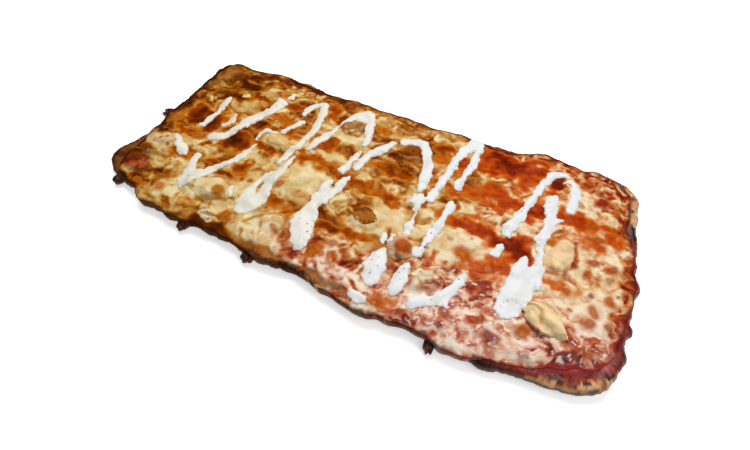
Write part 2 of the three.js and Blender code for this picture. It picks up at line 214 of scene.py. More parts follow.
# Distance of places inside an outline, negative outside
def depthInside(edge, x, y):
    points, normals = edge
    tree = treeOf(points)
    nearest = np.array([tree.find((px, py, 0))[1] for px, py in zip(x, y)])
    inward = points[nearest] - np.column_stack((x, y))
    across = np.sum(inward * normals[nearest], axis=1)
    distance = np.hypot(inward[:, 0], inward[:, 1])
    return np.where(distance < 3, across, np.sign(across) * distance)


breadEdge = outlineOf(bread)
cheeseEdge = outlineOf(cheeseLayer)
sauceEdge = outlineOf(sauceLayer)

# The rim's section, as inset from the outline and share of the rim's height, down to the bed
rimSection = [(4.6, 0), (2.2, 0.13), (0.3, 0.45), (0.8, 0.76), (2.4, 0.94), (4.4, 1), (7, 0.9), (10, 0)]


def rimTop(x, y):
    puff = 0.35 * np.sin(x * 0.19 + 1) * np.cos(y * 0.16)
    return layers["rimTop"] + layers["endRise"] * ease(np.abs(x), 140, 168) + puff


# Height of the crust's upper face at places that lie "depth" mm inside its outline
def crustTop(x, y, depth):
    insets = [-6, -1.5] + [inset for inset, _ in rimSection[2:]]
    shares = [0.1, 0.3] + [share for _, share in rimSection[2:-1]] + [layers["doughTop"] / rimUsual]
    top = np.interp(depth, insets, shares) * rimTop(x, y)
    return np.where(depth > rimSection[-1][0], layers["doughTop"], top)


# Swells and hollows of the cheese: x, y, length, width and height
mounds = [
    (-35, -20, 28, 36, 2.8), (112, 11, 15, 18, 1.7), (-107, 36, 14, 10, 1.2), (-127, 28, 16, 12, 1.2),
    (97, 15, 12, 10, 1), (55, -5, 12, 17, 1.2), (40, 62, 16, 10, 0.8), (-33, 35, 22, 14, 1),
    (150, 30, 20, 14, 0.7), (100, -62, 24, 12, 0.6), (-149, -53, 16, 15, -1.5), (-146, 54, 12, 9, -1.1),
    (-78, -24, 14, 12, -0.9), (85, 52, 30, 14, -1.1), (15, -40, 40, 9, -0.8), (-40, -41, 24, 8, -0.8),
    (62, -61, 9, 7, -0.9),
]
cheeseWaves = [
    (0.31, 0.12, 0.4, 0.24), (-0.17, 0.36, 2.1, 0.22), (0.42, -0.29, 4, 0.17), (0.11, 0.47, 5.3, 0.16),
]

# Patches on the cheese: x, y, half length, half width and strength
patches = {
    # soft, pale melted cheese
    "pale": [
        (-146, -31, 12, 9, 1.2), (-145, 38, 8, 5, 0.4), (-107, 35, 8, 5, 0.6), (-108, 52, 6, 8, 0.5),
        (137, 40, 9, 5, 1.0), (95, -62, 12, 6, 0.8), (84, -66, 10, 5, 0.6), (120, -66, 10, 4, 0.6),
        (104, -46, 8, 5, 0.6), (131, -26, 7, 5, 0.9), (-68, -47, 5, 6, 0.9), (98, -65, 9, 5, 0.8),
        (-66, -55, 9, 6, 1.0), (74, -27, 11, 6, 1.1), (57, -39, 7, 6, 1.1), (72, -52, 9, 6, 0.9),
        (107, -65, 10, 6, 1.1), (67, -20, 7, 6, 1.0), (23, -31, 10, 4, 0.8), (-87, 35, 6, 5, 0.8),
        (54, 3, 6, 6, 0.8), (54, -21, 4, 6, 0.9), (121, -51, 9, 6, 0.9), (-69, 1.5, 6, 4, 0.9),
        (133, -12, 6, 4, 0.9), (-120, 28, 10, 8, 0.35), (-150, 26, 6, 6, 0.35), (-148, 10, 6, 9, 0.35),
        (-122, -20, 19, 6, 0.8), (-86, -28, 4, 4, 0.8), (-28, -33, 8, 4, 0.7), (9, 3, 6, 3, 0.6),
        (-66, -28, 5, 5, 0.8), (-112, -9, 6, 6, 0.6), (-80, -12, 11, 7, 0.95), (-65, -14, 6, 6, 0.8),
        (-92, 30, 8, 5, 0.5), (-75, 60, 12, 8, 0.45), (-75, 53, 5, 4, 0.5), (-128, -43, 24, 8, 0.8),
        (-112, -60, 20, 9, 0.9), (-95, -67, 14, 6, 0.7), (-66, -40, 7, 7, 0.7), (-35, -18, 18, 20, 0.9),
        (-20, 63, 25, 6, 0.5), (-25, 32, 12, 8, 0.9), (-45, 38, 4, 7, 0.6), (-34, 11, 22, 5, 0.9),
        (5, 60, 20, 8, 0.45), (35, 63, 16, 6, 0.7), (10, 35, 6, 8, 0.4), (27, 5, 6, 4, 0.5),
        (35, -3, 6, 6, 0.5), (0, -22, 9, 10, 0.7), (32, -17, 15, 12, 1.0), (16, -31, 7, 3, 0.5),
        (-45, -58, 15, 8, 0.85), (-30, -66, 20, 6, 0.8), (15, -50, 16, 9, 0.85), (20, -66, 20, 6, 0.8),
        (-31, -55, 11, 8, 0.9), (-74, -63, 8, 6, 0.8), (80, -14, 17, 10, 1.0), (78, 42, 12, 5, 0.65),
        (92, 42, 8, 5, 0.5), (95, 62, 20, 4, 0.4), (85, 12, 20, 5, 0.6), (112, 7, 8, 9, 1.25),
        (140, 46, 8, 13, 1.0), (160, 8, 10, 12, 0.5), (150, -22, 14, 12, 0.9), (148, 12, 12, 8, 0.7),
        (132, -58, 12, 8, 0.7), (55, -12, 8, 10, 0.6), (-63, -4, 4, 4, 0.3),
    ],
    # orange hot sauce; 1 is rust, over 1 is deep and dark
    "sauce": [
        (-129, 5, 10, 15, 1.2), (-142, 4, 9, 9, 1.0), (-100, -5, 11, 10, 1.2), (-94, 15, 9, 5, 1.1),
        (-140, -12, 14, 4, 0.75), (-148, 8, 6, 10, 0.8), (-157, -2, 6, 10, 0.35), (-152, 18, 6, 6, 0.3),
        (-125, -32, 7, 6, 0.65), (-117, -19, 4, 4, 0.8), (-101, -31, 10, 2.4, 0.65), (-116, 38, 3, 6, 0.7),
        (-108, 41, 12, 2, 0.85), (-79, 43.5, 8, 4.5, 0.8), (-78, 29, 9, 5, 0.6), (-90, 27, 6, 4, 0.6),
        (-79, -24.5, 7, 5.5, 0.95), (-77, -31, 10, 2.2, 0.6), (-74, -4.5, 12, 4, 0.75),
        (-61, 14, 4, 5, 0.6), (-66, 21, 6, 8, 0.75), (-96, -63, 8, 3, 0.4), (-53, 53, 11, 7, 0.7),
        (-36, 20, 13, 7.5, 0.74), (-38, 3, 15, 6, 0.78), (-16, 1, 14, 5, 0.72), (-50, -5, 4, 7, 0.7),
        (-52, 28, 6, 6, 0.5), (-34, -41.5, 14, 4.5, 0.9), (8, -5, 18, 6, 0.78), (27, -4, 6, 7, 0.66),
        (31, -8, 5, 4, 0.5), (-48, -6, 3, 5, 0.8), (20, 16, 18, 5, 0.86), (8, 20, 6, 4, 0.5),
        (-4, 49, 7, 5, 0.75), (3, -41, 10, 4.5, 1.0), (21, -39, 13, 5, 0.7), (5, -60, 4, 8, 0.45),
        (41, 50, 8, 6, 0.95), (42, 39, 6, 6, 0.5), (30, 31, 8, 6, 0.3), (-20, 50, 4, 6, 0.4),
        (45, 20, 4, 8, 0.5), (62, 20, 12, 5, 0.6), (58, 45, 5, 9, 0.9), (74, 51, 11, 11, 0.8),
        (88, 54, 29, 12, 0.9), (88, 52, 7, 8, 0.4), (106, 60, 11, 8, 0.9), (118, 50, 5, 10, 1.2),
        (93, 26, 20, 8, 0.9), (89, 16, 12, 3, 0.7), (112, 25, 10, 8, 0.9), (136, 29, 17, 5.5, 0.9),
        (146, 16, 11, 7, 0.6), (156, 25, 8, 6, 0.6), (83, -3, 22, 6.5, 0.85), (107, -4, 14, 8, 1.05),
        (112, -6, 9, 9, 0.5), (118, -6, 4, 8, 0.9), (-47, 47, 4, 5, 0.7), (-113, 11, 3, 4, 0.7),
        (67, -37, 4, 5, 0.8), (96, -27, 16, 7, 0.75), (104, -19, 10, 8, 0.6), (122, 15, 4, 5, 0.7),
        (134, -18, 13, 3, 0.55), (55, -68, 10, 5, 0.6), (70, -5, 8, 4, 0.4), (100, 40, 20, 4, 0.3),
        (95, 1, 9, 4, 0.4), (8, -31, 5, 4, 0.4),
    ],
    # browned to umber by the oven
    "umber": [
        (-154, 32, 6, 9, 1.1), (-140, 46, 9, 5, 0.9), (-148, 6, 6, 8, 0.6), (-115, 11, 6, 5, 0.5),
        (-64, 38, 4, 7, 0.7), (-149, 21, 6, 5, 0.8), (-165, -28, 3, 8, 0.9), (-88, -67, 8, 4, 0.8),
        (-72, -72, 16, 4, 0.9), (-18, -57, 4, 5, 0.6), (19, -63, 6, 4, 0.6), (52, -61, 4, 6, 0.5),
        (10, -50, 5, 5, 0.5), (-12, 62, 46, 9, 0.3), (34, 64, 18, 6, 0.35), (-58, 68, 16, 5, 0.5),
        (-116, -46, 4, 3, 0.5), (-104, -19, 4, 3, 0.7), (10, 60, 8, 5, 0.75), (0, 60, 6, 4, 0.6),
        (7, 50, 6, 4, 0.4), (-19, 64, 7, 5, 0.55), (-37, 57, 6, 5, 0.6), (3, -66, 4, 6, 0.65),
        (-68, 69, 14, 4, 0.6), (-140, 57, 15, 8, 0.9), (-124, 52, 11, 6, 0.8), (-137, 36, 20, 5, 0.85),
        (-148, 52, 3, 7, 0.7), (-125, -55, 9, 6, 1.1), (-135, -65, 8, 4, 0.95), (-75, -74, 32, 3, 0.6),
        (-90, 68, 42, 4.5, 0.95), (-40, 65, 16, 6, 0.65), (-150, 20, 6, 6, 0.5), (-155, -12, 8, 6, 0.4),
        (-10, -68, 6, 3, 0.7), (67, -73, 8, 3, 0.6), (5, -25, 7, 4, 0.5), (21, 31, 13, 8, 0.7),
        (0, 68, 40, 3, 0.5), (-105, 2, 6, 8, 0.35), (70, 16, 8, 3, 0.3),
    ],
    # tomato that shows through thin or missing cheese
    "crimson": [
        (151, 59, 9, 6, 1.2), (143, 67, 12, 4, 0.9), (81, -41, 6, 4, 0.6), (147, 44, 4, 8, 0.8),
        (141, 55, 5, 5, 0.5), (98, 72, 20, 4, 0.5), (91, 65, 12, 4, 0.6), (3, -52, 3, 15, 0.7),
        (-10, -61, 8, 6, 0.55), (135, -61, 7, 4, 0.5), (30, -72, 6, 4, 0.8), (43, -67, 13, 4, 0.65),
        (77, 67, 14, 4, 1.1), (104, 72, 14, 5, 0.6), (155, 60, 8, 8, 0.8), (170, 0, 5, 50, 0.75),
        (162, 40, 5, 20, 0.7), (100, -38, 8, 7, 0.7), (85, -62, 26, 9, 0.3), (89, -63, 4, 3, 0.5),
        (110, -69, 25, 5, 0.35), (158, -56, 20, 8, 1.1), (130, 70, 14, 4, 0.6), (120, -46, 16, 8, 0.3),
        (145, -50, 18, 10, 0.4), (95, -48, 14, 8, 0.45), (44, 32, 4, 9, 0.5), (62, 45, 5, 12, 0.4),
        (-5, 15, 5, 8, 0.4), (15, -46, 12, 6, 0.4),
    ],
    # finely speckled cheese
    "mottled": [
        (0, -22, 15, 12, 1), (15, -53, 22, 12, 0.9), (25, -66, 28, 8, 0.8), (20, 27, 18, 10, 1),
        (85, 42, 24, 7, 1), (85, 12, 26, 6, 0.9), (70, -45, 14, 9, 0.9), (-45, -62, 22, 9, 0.8),
        (-108, -62, 24, 9, 0.6), (-132, -42, 20, 8, 0.7), (-146, 25, 18, 14, 0.9), (-75, 62, 22, 8, 0.8),
        (0, 60, 45, 8, 0.9), (-86, 30, 15, 10, 0.9), (27, 4, 10, 6, 0.9), (-148, 2, 10, 12, 0.6),
        (-112, -14, 8, 10, 0.5), (55, -5, 10, 12, 0.6), (-20, 48, 8, 8, 0.5), (-110, 50, 10, 8, 0.5),
        (-45, -22, 8, 8, 0.4), (35, 62, 20, 8, 0.4),
    ],
    # golden dough that lies bare
    "golden": [
        (-160, 53, 13, 17, 1.0), (-172, -48, 7, 12, 1.0), (-160, -66, 12, 4, 0.8),
        (-20, -74, 22, 3.6, 0.95), (12, -74, 18, 3.4, 0.9),
    ],
}

# Blisters: x, y, radius and colour, from amber at 0 to dark red at 1
blisters = [
    (-118, -63, 4, 0.1), (-60, -63, 3.8, 0.2), (-95.4, 49.8, 4.4, 0.1), (82, -22, 4.8, 0.25),
    (5, -18, 2.6, 0.6), (16, -59, 4, 0.4), (20, -52, 3, 0.6), (5, -56, 3.5, 0.3), (127, -52, 3.8, 0.3),
    (113, -63, 4.4, 0.95), (116.5, -56, 2.4, 0.35), (120.5, -56.5, 2.6, 0.4), (101.5, -57.5, 2.8, 0.65),
    (105, -55, 2.8, 0.6), (106.5, -50, 2.2, 0.4), (99, -38, 6, 0.85), (94, -40, 3.5, 0.7),
    (124.8, 7.8, 4, 0.15), (139, -12, 2.4, 0.8), (141, -20, 3, 0.35), (156, -26, 3.2, 0.4),
    (154, -33, 3.6, 0.3), (163, -17, 3.6, 0.35), (160, 3, 3.2, 0.5), (151, -47, 3.2, 0.65),
    (140, -64.5, 2, 0.8), (150, 4, 3.4, 0.5), (146, 48, 4.2, 0.8), (154, 45, 2.8, 0.4), (145, 55, 3, 0.9),
    (-43, -27, 3.8, 0.25), (11, -50, 3, 0.5), (8, -60, 3, 0.3), (160, -4, 2.4, 0.5), (88, -68, 3, 0.7),
    (-28, -27, 2.2, 0.3), (-65, -11, 2.2, 0.2), (-121, -43, 2.6, 0.2), (130, -64, 2.2, 0.9),
    (90, 41, 2.4, 0.7), (88.5, -62, 3, 0.6), (60, -60, 3, 0.8), (76, -48, 3, 0.8), (146, -30, 2.2, 0.6),
    (168, 8, 3, 0.7), (165, -30, 3, 0.5), (120, 22, 2.5, 0.4), (150, 20, 3, 0.5), (135, 60, 3, 0.7),
    (30, -52, 2.5, 0.6),
]

# Single stained spots, and one painted highlight: x, y, half length, half width, colour of the middle and of
# the border
stainsAndHighlight = [
    (-149, -53, 10, 8, (176, 70, 40), (100, 38, 18)),
    # a painted highlight: the grey-white glint of glossy cheese
    (-151, -41.5, 3, 2.4, (200, 182, 164), (118, 82, 58)),
    (-147, 52, 2.6, 2.6, (120, 78, 34), (84, 44, 12)),
]

# Drizzle strokes: points with x, y and width
strokes = [
    [(-132.5, 30.5, 4), (-132.5, 27.5, 6), (-131.5, 21.5, 6.5), (-130.5, 12.5, 4), (-132, 4, 5),
     (-132.5, -3, 5.5)],
    [(-116, 15.5, 4.5), (-114, 9.5, 4.5), (-117, 3, 4)],
    [(-88, 55, 4.5), (-88.3, 51, 5.5)],
    [(-91, 42, 9.5), (-92, 39, 9.5), (-93, 32.5, 9), (-97, 25.5, 8.5), (-102, 14.5, 9), (-105, 5.5, 6.5),
     (-107, -1, 5.5), (-110, -7, 7), (-116, -10, 9)],
    [(-141.5, -21, 2.5), (-136.5, -23, 4), (-132.5, -27, 6.5), (-128, -29.5, 8.5), (-126, -31.5, 6.5)],
    [(-82.5, -3, 2.5), (-83.5, -14, 5), (-86, -20, 6), (-89, -26, 5), (-94, -32.5, 6), (-97, -39.5, 8),
     (-102, -45.5, 12), (-105, -50.5, 12), (-105.5, -54.5, 8)],
    [(-114.5, -29, 5), (-113.5, -33.5, 5.5), (-111, -38.5, 6), (-108, -44.5, 9)],
    [(-50, 0, 2), (-50, -7, 4), (-50, -14, 6), (-51.5, -20, 9), (-53.5, -24, 12), (-54, -29.5, 13),
     (-53.5, -36.5, 16), (-53.5, -41.5, 19), (-54.5, -48.5, 16), (-55.5, -53.5, 9)],
    [(-55, 4.5, 5), (-55.5, -2, 6), (-56, -10, 4.5)],
    [(-67.5, 38.5, 3.5), (-68.5, 44, 5), (-66.5, 50, 6), (-63.5, 53, 6), (-58.5, 54.5, 6), (-56.5, 49, 7),
     (-54.5, 42, 7), (-52.5, 34.5, 6), (-51.5, 27.5, 6.5), (-52.5, 19.5, 5), (-53, 12.5, 5.5),
     (-52.5, 8, 4)],
    [(-65, 30.5, 5), (-67.5, 25.5, 6), (-69.5, 21.5, 5), (-71.5, 16.5, 5)],
    [(-75.5, 13.5, 2), (-79.5, 13, 3), (-83.5, 12, 4.5), (-86.5, 7.5, 3.5), (-85.5, 2, 2.5)],
    [(-36.5, 40, 2.5), (-35.5, 45, 3.5), (-33, 50, 5.5), (-29, 55, 8), (-25, 58, 9), (-21, 57, 9),
     (-17, 51, 7), (-15.5, 46, 6.5), (-13.5, 41, 6.5), (-11.5, 35.5, 6), (-11, 30.5, 4.5)],
    [(-31, 52, 5), (-22, 54, 8)],
    [(-11, 22.5, 4), (-11.5, 17.5, 5), (-12, 11.5, 3.5), (-12, 5.5, 6), (-13, 3, 6.5)],
    [(-37.5, 37, 3), (-38, 31.5, 5), (-41, 25.5, 7), (-43.5, 19.5, 7.5), (-44, 13.5, 7.5), (-44.5, 9.5, 5)],
    [(7, 40, 4), (5, 35.5, 6.5), (1, 29.5, 8), (-3.5, 22.5, 6), (-5, 16.5, 7), (-5.5, 8.5, 5)],
    [(-6.5, 0, 3), (-7, -4, 5.5), (-7.5, -8, 7.5), (-8.5, -14, 7), (-10.5, -20, 8), (-13, -24, 12),
     (-14.5, -29, 8), (-15, -31.5, 8), (-13.5, -36.5, 11), (-14, -42.5, 15), (-12.5, -47.5, 15),
     (-10, -52.5, 14), (-7.5, -57.5, 11), (-6.5, -60.5, 7)],
    [(-15.5, -10, 5), (-16, -14, 7), (-14.5, -20, 8)],
    [(13.5, 44.5, 6.5), (17.5, 47, 7), (22, 48.5, 7), (27, 47, 7), (31, 43, 7), (34, 37.5, 7),
     (37, 31.5, 7.5), (39, 25.5, 8), (40, 19.5, 8), (41, 13.5, 6), (41, 10, 4)],
    [(43.5, 3, 8), (43, 1, 9)],
    [(43, 3, 3), (37.5, 5.5, 1.5)],
    [(43, 1, 3), (37.5, -3.5, 1.5)],
    [(44, 0, 3), (44, -6, 2)],
    [(45, 3, 4), (50, 6.5, 2)],
    [(45, 0, 5), (46, -6, 2.5), (47, -14, 2), (47, -17, 5), (47, -20, 7), (47.5, -23.5, 5)],
    [(58.5, 66, 11), (57.5, 60, 9), (54.5, 55, 8), (53, 49, 6.5), (52.5, 43, 5.5), (52, 37.5, 5.5),
     (51.5, 25.5, 6), (51, 17.5, 5.5), (50, 9.5, 7), (50, 6, 6)],
    [(60.5, 65, 7), (64, 60, 5), (63, 53, 6), (64.5, 46, 5.5), (63.5, 40, 6), (62.5, 34.5, 4.5),
     (62, 28.5, 5), (61.5, 24.5, 7), (62.5, 22, 4)],
    [(63.5, 7, 6), (64, 4, 6.5), (63, -3, 4.5), (63, -7, 4), (63, -12, 7), (62, -18, 7), (61, -23, 6),
     (60, -27, 3)],
    [(59.5, -31.5, 6), (59, -34, 6.5)],
    [(36.5, -31.5, 4), (37, -35.5, 4)],
    [(41.5, -29.5, 3), (41.5, -34.5, 3)],
    [(41, -41.5, 5), (40.5, -46.5, 10), (41, -52.5, 14), (42, -58.5, 12), (43, -62.5, 7)],
    [(57.5, -44.5, 5), (57, -49.5, 8), (57.5, -54.5, 9.5), (57.5, -59.5, 8), (57.5, -62.5, 5)],
    [(37, -73.5, 4), (40.5, -73.8, 7), (44.5, -73.5, 5)],
    [(89, -33, 1.5), (89, -33, 1.5)],
    [(88.5, -36.5, 4), (87.5, -40.5, 6), (86, -46.5, 6), (83.5, -52.5, 8), (80.5, -56.5, 7),
     (74.5, -59.5, 6), (71, -62.5, 8), (70, -64.5, 6)],
    [(84.5, -54.5, 5), (87, -57.5, 3.5)],
    [(101, 1.5, 5.5), (101, 5.5, 8.5), (103.5, 12.5, 6.5), (104, 17.5, 7), (105.5, 24.5, 5),
     (106.5, 30.5, 5), (108, 37.5, 5), (109, 44, 5.5), (110.5, 51, 6), (112.5, 57, 6), (116, 60.5, 6),
     (120, 61.5, 5), (123, 59.5, 2.5)],
    [(121.5, 55, 2), (124.5, 56, 3), (127.5, 55, 5), (129.5, 51, 6.5), (131, 44, 6.5), (130, 37.5, 6.5),
     (130.5, 34, 5)],
    [(119, 39.5, 5.5), (118.5, 35.5, 8.5), (119.5, 28.5, 7.5), (121, 22.5, 7), (122, 15.5, 8),
     (121, 9.5, 6), (120.5, 3, 4), (121.5, -3, 4.5), (122.5, -10, 6), (123, -16, 9), (120.5, -23, 15)],
    [(123, 22.5, 5), (128, 25.5, 2.5)],
    [(119.5, 11.5, 4), (117, 4, 2.5)],
    [(116, -9, 2.5), (116, -14, 8), (117, -19, 13), (117.5, -25, 14), (117.5, -31.5, 16), (116.5, -38, 16),
     (115.5, -43.5, 14), (115, -46.5, 9)],
    [(100.5, -9, 5), (99, -14, 6.5)],
    [(-71.5, -42, 2), (-69.5, -45.5, 4), (-67.5, -49.5, 2.5)],
    [(55.5, 37.5, 2), (55.5, 37.5, 2)],
]
slits = [
    [(-56, -29.5, 1.5), (-55.5, -34.5, 2.2), (-54.5, -38.5, 1.2)],
    [(118.5, -4, 3), (119, -11, 3), (119, -13.5, 1.5)],
    [(-12, -5, 2), (-11.5, -13, 2)],
]

# Dark crease lines in the cheese and the chunks, and painted shadow lines beside chunks: strength, then
# points with x, y and width
creasesAndShadowLines = [
    # a painted shadow line along the first chunk's lower side
    (0.5, [(-162, -35, 1), (-153, -40, 2), (-143, -39, 1)]),
    (0.7, [(-143, 56, 1), (-148, 54, 2), (-149, 49, 2), (-145, 46, 1)]),
    (0.4, [(-95, -38, 1), (-98, -46, 1.5), (-95, -54, 1)]),
    # a painted shadow below the second chunk's lower right side
    (0.4, [(-88, -60.5, 1), (-79, -58, 2), (-70, -54, 1)]),
    (0.4, [(-96, -44, 0.5), (-89, -42, 1), (-81, -38, 0.5)]),
    (0.35, [(-79, -40, 0.5), (-73, -47, 1), (-68, -54, 0.5)]),
    (0.5, [(-76, -60, 0.5), (-75, -63.5, 1.2), (-77, -66, 0.5)]),
    (0.6, [(-75, -69, 0.5), (-70, -67, 1), (-66, -65, 0.5)]),
    (0.5, [(-93, 10, 1), (-87, 3, 1.5), (-84, -6, 1)]), (0.8, [(37, -27, 1), (40, -36, 1.5)]),
    (0.7, [(49, -41, 1), (55, -46, 3), (53, -55, 1)]), (0.3, [(58, -36, 1), (56, -42, 1)]),
    (0.6, [(119, -39, 0.6), (126, -37, 0.9), (131, -40, 0.9), (134, -46, 0.5)]),
    (0.4, [(124, -32, 0.4), (131, -34.5, 0.8), (139, -38, 0.4)]),
    (0.45, [(-24, -42, 1), (-33, -47, 1), (-42, -54, 1.5), (-47, -61, 1)]),
    (0.4, [(-24, -42, 1), (-22, -52, 1), (-25, -62, 1)]),
    (0.7, [(-2, -48, 1), (2, -55, 2), (1, -64, 1.5), (4, -70, 1)]), (0.6, [(-4, -62, 1), (-14, -67, 1.5)]),
    (0.6, [(8, -66, 1), (14, -72, 1)]), (0.8, [(13, 34, 1), (16, 32, 2), (22, 34, 1.5), (28, 37, 1)]),
    (0.7, [(10, 28, 1), (18, 26, 1.5), (27, 29, 1)]), (0.5, [(-33, 50, 1), (-31, 42, 1), (-27, 38, 0.5)]),
    (0.5, [(-25, 50, 1), (-23, 41, 1)]), (0.3, [(9, -14, 1), (14, -12.5, 2), (20, -15, 1)]),
    # these four are painted shadow lines beside the chunks' shaded sides
    (0.55, [(138, 12, 0.5), (141, 0, 1.4), (137, -12, 1), (128, -14, 0.5)]),
    (0.25, [(-56, 8, 0.5), (-57, 0, 1.2), (-66, -3, 1.2), (-77, -1, 0.5)]),
    (0.5, [(-17, 46, 0.5), (-19, 37, 1.2), (-27, 33, 1.2), (-34, 37, 0.5)]),
    (0.4, [(-131, -38, 0.5), (-134, -41, 1), (-146, -42, 0.5)]),
]

# Chicken chunks: x, y, length, width, height and turn in degrees
chunks = [
    (-146, -31, 28, 19, 5.5, 8), (-84.5, -49, 33, 20, 6.5, 4), (-73.5, -67, 16, 9, 4, -15),
    (-68, 6, 24, 13, 5, 6), (-25.5, 41.5, 17, 13, 5, 30), (-102, 47, 15, 13, 4.5, 20),
    (-121.5, 37, 9, 6, 3.5, 0), (48.5, -35, 16, 17, 6.5, 25), (132, -1, 17, 26, 5, -8),
    (135.5, -41.5, 26, 18, 7.5, -25), (127.5, -24.5, 7, 6, 3.5, 0), (22.5, 28.5, 23, 16, 4.5, 10),
    (20.5, -24.5, 18, 14, 4.5, 0), (-29, -52.5, 17, 13, 4, 20), (70, -47, 16, 12, 4.5, 35),
    (124, 48, 6, 8, 3, 0),
]


# Places pushed about by noise, so that patches get torn and uneven edges
def warped(x, y, seed, reach):
    shiftX = lumps(x, y, 9, seed) + 0.4 * lumps(x, y, 4, seed + 1)
    shiftY = lumps(x, y, 9, seed + 2) + 0.4 * lumps(x, y, 4, seed + 3)
    return x + reach * shiftX, y + reach * shiftY


# The patches' borders: seed, how broken up, how soft, and how far they are pushed about
patchBorders = {
    "pale": (571, 0.3, 0.36, 2.6),
    "mottled": (575, 0.3, 0.6, 2.2),
    "crimson": (581, 0.5, 0.5, 3),
    "sauce": (591, 0.4, 0.62, 2.8),
    "umber": (601, 0.55, 0.5, 3),
    "golden": (611, 0.4, 0.4, 1.2),
}


# Strength of a kind of patch at places
def patchAt(kind, x, y):
    seed, rough, soft, reach = patchBorders[kind]
    wx, wy = warped(x, y, seed, reach)
    breakUp = rough * grain(x, y, 7, seed + 7, 2, 1.4)
    total = np.zeros(len(x))
    for px, py, halfLong, halfWide, strength in patches[kind]:
        away = np.hypot((wx - px) / halfLong, (wy - py) / halfWide)
        near = away < 2.2
        here = strength * (1 - ease(away[near] + breakUp[near], 1 - 1.1 * soft, 1 + 0.95 * soft))
        total[near] = np.maximum(total[near], here) + 0.3 * np.minimum(total[near], here)
    return total


# Depth of the crease lines and of the painted shadow lines at places, from 0 to 1
def creaseAndShadowAt(x, y):
    wx, wy = warped(x, y, 721, 1.0)
    total = np.zeros(len(x))
    for strength, path in creasesAndShadowLines:
        total = np.maximum(total, strength * (1 - ease(strokeDistance(wx, wy, [path]), -0.4, 1.6)))
    return total


# Colours at values: each entry has a value and the colour that it stands for
def stops(value, *entries):
    places = [entry[0] for entry in entries]
    return np.column_stack([np.interp(value, places, [entry[1][k] for entry in entries]) for k in range(3)])


# Colours with a share of another one, by a mask
def blend(colours, mask, target):
    share = np.clip(mask, 0, 1)[:, None]
    return colours * (1 - share) + np.asarray(target, float) * share


# Height of the cheese at places, where it covers the bed and the rim
def cheeseTop(x, y, depthCheese, depthBread):
    relief = np.zeros(len(x))
    for rateX, rateY, phase, height in cheeseWaves:
        relief += height * np.sin(rateX * x + rateY * y + phase)
    for moundX, moundY, length, width, height in mounds:
        relief += height * np.exp(-4 * (((x - moundX) / length) ** 2 + ((y - moundY) / width) ** 2))
    swell = ease(depthCheese, 0, 9)
    thickening = np.maximum(layers["cheeseThick"] - layers["cheeseEdge"] + relief, 0)
    onBed = layers["cheeseFloor"] + layers["cheeseEdge"] + swell * thickening
    onRim = crustTop(x, y, depthBread) + gap + layers["cheeseEdge"]
    return np.maximum(onBed, onRim)


def readPoints(verts):
    return np.array([vert.co for vert in verts])


def writePoints(bm, points):
    for vert, point in zip(bm.verts, points):
        vert.co = point * mm


# Closes an open skin and turns its faces outwards
def closeSkin(bm):
    bmesh.ops.holes_fill(bm, edges=[edge for edge in bm.edges if edge.is_boundary], sides=0)
    bmesh.ops.recalc_face_normals(bm, faces=bm.faces[:])


# Turns a mesh about its upright axis and moves it to its place
def putAt(bm, x, y, z, degrees):
    spin = Matrix.Rotation(math.radians(degrees), 4, "Z")
    shift = Matrix.Translation(Vector((x, y, z)) * mm)
    bmesh.ops.transform(bm, matrix=shift @ spin, verts=bm.verts[:])


# Gives a new mesh object its place in the scene and on the frame
def finishPiece(bm, name, material, replaced=()):
    mesh = bpy.data.meshes.new(name)
    bm.to_mesh(mesh)
    bm.free()
    piece = bpy.data.objects.new(name, mesh)
    bpy.context.scene.collection.objects.link(piece)
    mesh.materials.append(material)
    mesh.shade_smooth()
    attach(piece, "root")
    if replaced:
        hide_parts(*replaced)
    return piece


def writeColours(piece, name, values):
    layer = piece.data.attributes.new(name, "FLOAT_COLOR", "POINT")
    layer.data.foreach_set("color", values.ravel())


# Writes up to three masks to a piece as the channels of a colour attribute
def paint(piece, name, *masks):
    values = np.ones((len(piece.data.vertices), 4), np.float32)
    for channel in range(3):
        values[:, channel] = np.clip(masks[channel], 0, 2) if channel < len(masks) else 0
    writeColours(piece, name, values)


# Writes painted colours, given from 0 to 255, and beside them how wet, rough and pink the places are
def paintColours(piece, colours, wet, rough, pink=0):
    values = np.ones((len(colours), 4), np.float32)
    values[:, :3] = toLinear(colours)
    writeColours(piece, "foodColour", values)
    paint(piece, "foodShine", wet, rough, pink)


# A grid whose points are put where "place" says, from its shares along and across
def gridMesh(columns, rows, place):
    bm = bmesh.new()
    bmesh.ops.create_grid(bm, x_segments=columns, y_segments=rows, size=0.5)
    shares = readPoints(bm.verts)[:, :2] + 0.5
    writePoints(bm, place(shares[:, 0], shares[:, 1]))
    return bm


# Fills a rectangle's shares into an outline, by blending its four sides
def sheetPlaces(edge, corners, u, v):
    points = edge[0]
    total = len(points)
    starts = [int(np.argmin(np.hypot(points[:, 0] - x, points[:, 1] - y))) for x, y in corners]

    def side(first, last, share):
        span = (last - first) % total
        at = (first + share * span) % total
        low = np.floor(at).astype(int) % total
        part = (at - np.floor(at))[:, None]
        return points[low] * (1 - part) + points[(low + 1) % total] * part

    near = side(starts[0], starts[1], u)
    right = side(starts[1], starts[2], v)
    far = side(starts[2], starts[3], 1 - u)
    left = side(starts[3], starts[0], 1 - v)
    u = u[:, None]
    v = v[:, None]
    a, b, c, d = (points[start] for start in starts)
    flat = (1 - u) * (1 - v) * a + u * (1 - v) * b + u * v * c + (1 - u) * v * d
    return (1 - v) * near + v * far + (1 - u) * left + u * right - flat


# Gives a socket a fixed value, or links what another node puts out
def feed(tree, socket, value):
    if isinstance(value, bpy.types.NodeSocket):
        tree.links.new(value, socket)
    else:
        socket.default_value = value


def mathNodes(tree, kind, first, second):
    step = tree.nodes.new("ShaderNodeMath")
    step.operation = kind
    feed(tree, step.inputs[0], first)
    feed(tree, step.inputs[1], second)
    return step.outputs[0]


